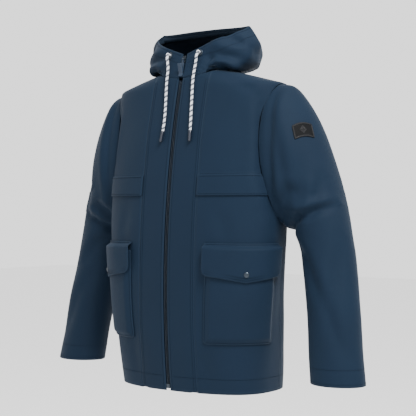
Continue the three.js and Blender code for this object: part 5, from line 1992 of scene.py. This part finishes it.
@dataclass
class Pocket:
    """One patch pocket with its flap and snap."""

    side: Side
    start: float = 23.4
    end: float = 87.0
    height: float = 209.0
    above_hem: float = 116.0
    depth: float = 7.0
    seat: float = 1.1
    flap_start: float = 22.2
    flap_end: float = 89.2
    flap_top: float = 345.0
    flap_face: float = 12.0
    cloth: float = 2.2

    def bag(self) -> bpy.types.Object:
        """The pocket, raised off the panel but at its sewn edges."""
        share_u = along((0, 0), (0.1, 6), (0.9, 47), (1, 6))
        share_v = along((0, 0), (0.1, 5), (1, 43))
        a, b = grid(share_u, share_v)
        fall = np.minimum(smooth(0, 0.09, np.minimum(a, 1 - a)), smooth(0, 0.07, b))
        lift = mixed(self.seat, self.depth, fall) + self.cloth
        corner = np.clip(1 - a / 0.05, 0, 1) ** 2 + np.clip(1 - (1 - a) / 0.05, 0, 1) ** 2
        z = -BodyForm.length + self.above_hem + b * self.height + 5 * corner * (1 - b) ** 3
        turn = np.radians(mixed(self.start, self.end, a))
        sheet = Sheet(f"pocket_cloth_{self.side.word}", BODY, turn, z, lift,
                      self.cloth, side=self.side)
        use = Use(Finish.SHELL, (f"pocket_{self.side.word}",), (f"lower_front_{self.side.word}",))
        return put_to_use(sheet.build(), use)

    def drop(self, a: Array) -> Array:
        """How far the flap's free edge hangs below its seam."""
        edge = np.minimum(a, 1 - a)
        corner = 58 + 16 * np.sqrt(np.clip(1 - (1 - edge / 0.08) ** 2, 0, 1))
        return np.where(edge < 0.08, corner, 74 + 13 * (edge - 0.08) / 0.42)

    def flap(self) -> bpy.types.Object:
        """The flap, whose free edge is rounded and dips in the middle."""
        share = along((0, 0), (0.08, 7), (0.92, 45), (1, 7))
        a, b = grid(share, along((0, 0), (0.2, 6), (1, 19)))
        lift = mixed(self.seat, self.flap_face, smooth(0.04, 0.16, b)) + self.cloth
        lift = lift + 0.8 * np.sin(a * 9.5) * b * smooth(0, 0.06, np.minimum(a, 1 - a))
        z = -BodyForm.length + self.flap_top - b * self.drop(a)
        turn = np.radians(mixed(self.flap_start, self.flap_end, a))
        sheet = Sheet(f"flap_cloth_{self.side.word}", BODY, turn, z,
                      lift, self.cloth, side=self.side)
        word, sign = self.side.word, self.side.value
        use = Use(Finish.SHELL, (f"pocket_flap_{word}",), (f"lower_front_{word}",))
        piece = put_to_use(sheet.build(), use, ride=False)
        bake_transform(piece)
        return piece

    def stitch(self, rows: Stitches, on_flap: Stitches) -> None:
        """Adds the rows of topstitching on the pocket and on its flap."""
        low = -BodyForm.length + self.above_hem
        up = np.linspace(low + 4, low + self.height - 55, 120)
        across = np.linspace(self.start + 1.5, self.end - 1.5, 120)
        face = self.seat + self.cloth + 0.4
        for turn in (self.start + 0.9, self.end - 0.9):
            rows.row(BODY, np.full(up.shape, rad(turn)), up, face + 0.3, self.side)
        rows.row(BODY, np.radians(across), np.full(across.shape, low + 3), face + 0.5, self.side)
        top = -BodyForm.length + self.flap_top
        across = np.linspace(self.flap_start + 1, self.flap_end - 1, 120)
        seam = np.full(across.shape, top - 2)
        rows.row(BODY, np.radians(across), seam, self.seat + self.cloth + 0.1, self.side)
        a = np.linspace(0.02, 0.98, 160)
        for inset in (4.5, 9.5):
            edge = np.linspace(0.02 + inset / 500, 0.98 - inset / 500, 160)
            turn = np.radians(mixed(self.flap_start, self.flap_end, edge))
            on_flap.row(BODY, turn, top - self.drop(a) + inset,
                        self.flap_face + self.cloth + 0.2, self.side)

    def snap(self) -> None:
        """The snap's domed cap with its rolled rim, over the CAD one; the stud keeps its CAD shape."""
        at = Vector((self.side.value * 207.19, -98.93, -479.57))
        out = Vector((self.side.value * 0.637, -0.770, -0.048)).normalized()
        base = 2.6
        profile = ((0.0, base), (5.6, base), (6.05, base + 0.35), (6.0, base + 0.9),
                   (5.5, base + 1.25), (4.9, base + 1.05), (4.5, base + 0.95),
                   (3.0, base + 1.25), (1.5, base + 1.4), (0.0, base + 1.45))
        cap = turned(f"snap_face_{self.side.word}", profile, at, out, 36)
        Finish.METAL.on(cap)
        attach(cap, f"flap_{self.side.word}")
        Finish.METAL.on_node(f"snap_cap_{self.side.word}")
        Finish.METAL.on_node(f"snap_stud_{self.side.word}")

    def build(self, rows: Stitches) -> None:
        """Makes the pocket, its flap and its snap."""
        self.bag()
        self.flap()
        on_flap = Stitches(f"flap_stitches_{self.side.word}", f"flap_{self.side.word}")
        self.stitch(rows, on_flap)
        on_flap.build()
        self.snap()


# ---- Inside the neck ----


@dataclass
class Neck:
    """The hanging loop and the plain label inside the back of the neck."""

    def loop(self) -> bpy.types.Object:
        """The hanging loop: a tape that bows away from the lining between its sewn ends."""
        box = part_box("hanger_loop")
        low, high = np.array(box[0]) / MM, np.array(box[1]) / MM
        t = np.linspace(-1, 1, 60)
        bow = np.clip(1 - np.abs(t) ** 4, 0, 1)
        x = t * (high[0] - low[0]) / 2
        y = mixed(high[1] - 1.3, low[1] + 1.0, bow)
        middle = (low[2] + high[2]) / 2
        rows = np.linspace(-1, 1, 5)[:, None] * (high[2] - low[2]) / 2 * 0.94
        p = np.stack(np.broadcast_arrays(x[None], y[None], middle + rows), axis=-1)
        n = np.broadcast_to(np.array((0.0, -1.0, 0.0)), p.shape)
        cols = len(t)
        index = np.arange(p.shape[0] * cols).reshape(-1, cols)
        quads = grid_faces(index)
        places, outward = p.reshape(-1, 3), n.reshape(-1, 3).copy()
        piece = sheet_object("loop_tape", places, outward, quads, Sheet.lay_flat(p), 1.3, Side.LEFT)
        return put_to_use(piece, Use(Finish.WEBBING, ("hanger_loop",), ("back_yoke_cloth",), held="hung"))

    def label(self) -> bpy.types.Object:
        """The plain woven label."""
        u, v = grid(np.radians(np.linspace(175.7, 184.3, 12)), np.linspace(-78, -52, 9))
        sheet = Sheet("label_cloth", BODY, u, v, -6.4, 0.6)
        use = Use(Finish.LABEL, ("neck_label",), ("lining_left",), held="laid")
        return put_to_use(sheet.build(), use)

    def build(self) -> None:
        """Makes both."""
        self.loop()
        self.label()


# ---- The whole jacket ----


def main() -> None:
    """Builds the studio and the jacket."""
    studio = Studio()
    studio.camera()
    studio.light()
    studio.ground()
    press_folds()
    Drawcord().build()
    rows = Stitches("body_stitches")
    Torso().build(rows)
    for side in Side:
        Sleeve(side).build()
        Pocket(side).build(rows)
        Finish.METAL.on_node(f"cord_eyelet_{side.word}")
    Hood().build(rows)
    Zip().build()
    Zip().pull()
    Neck().build()
    rows.build()


if __name__ == "__main__":
    main()
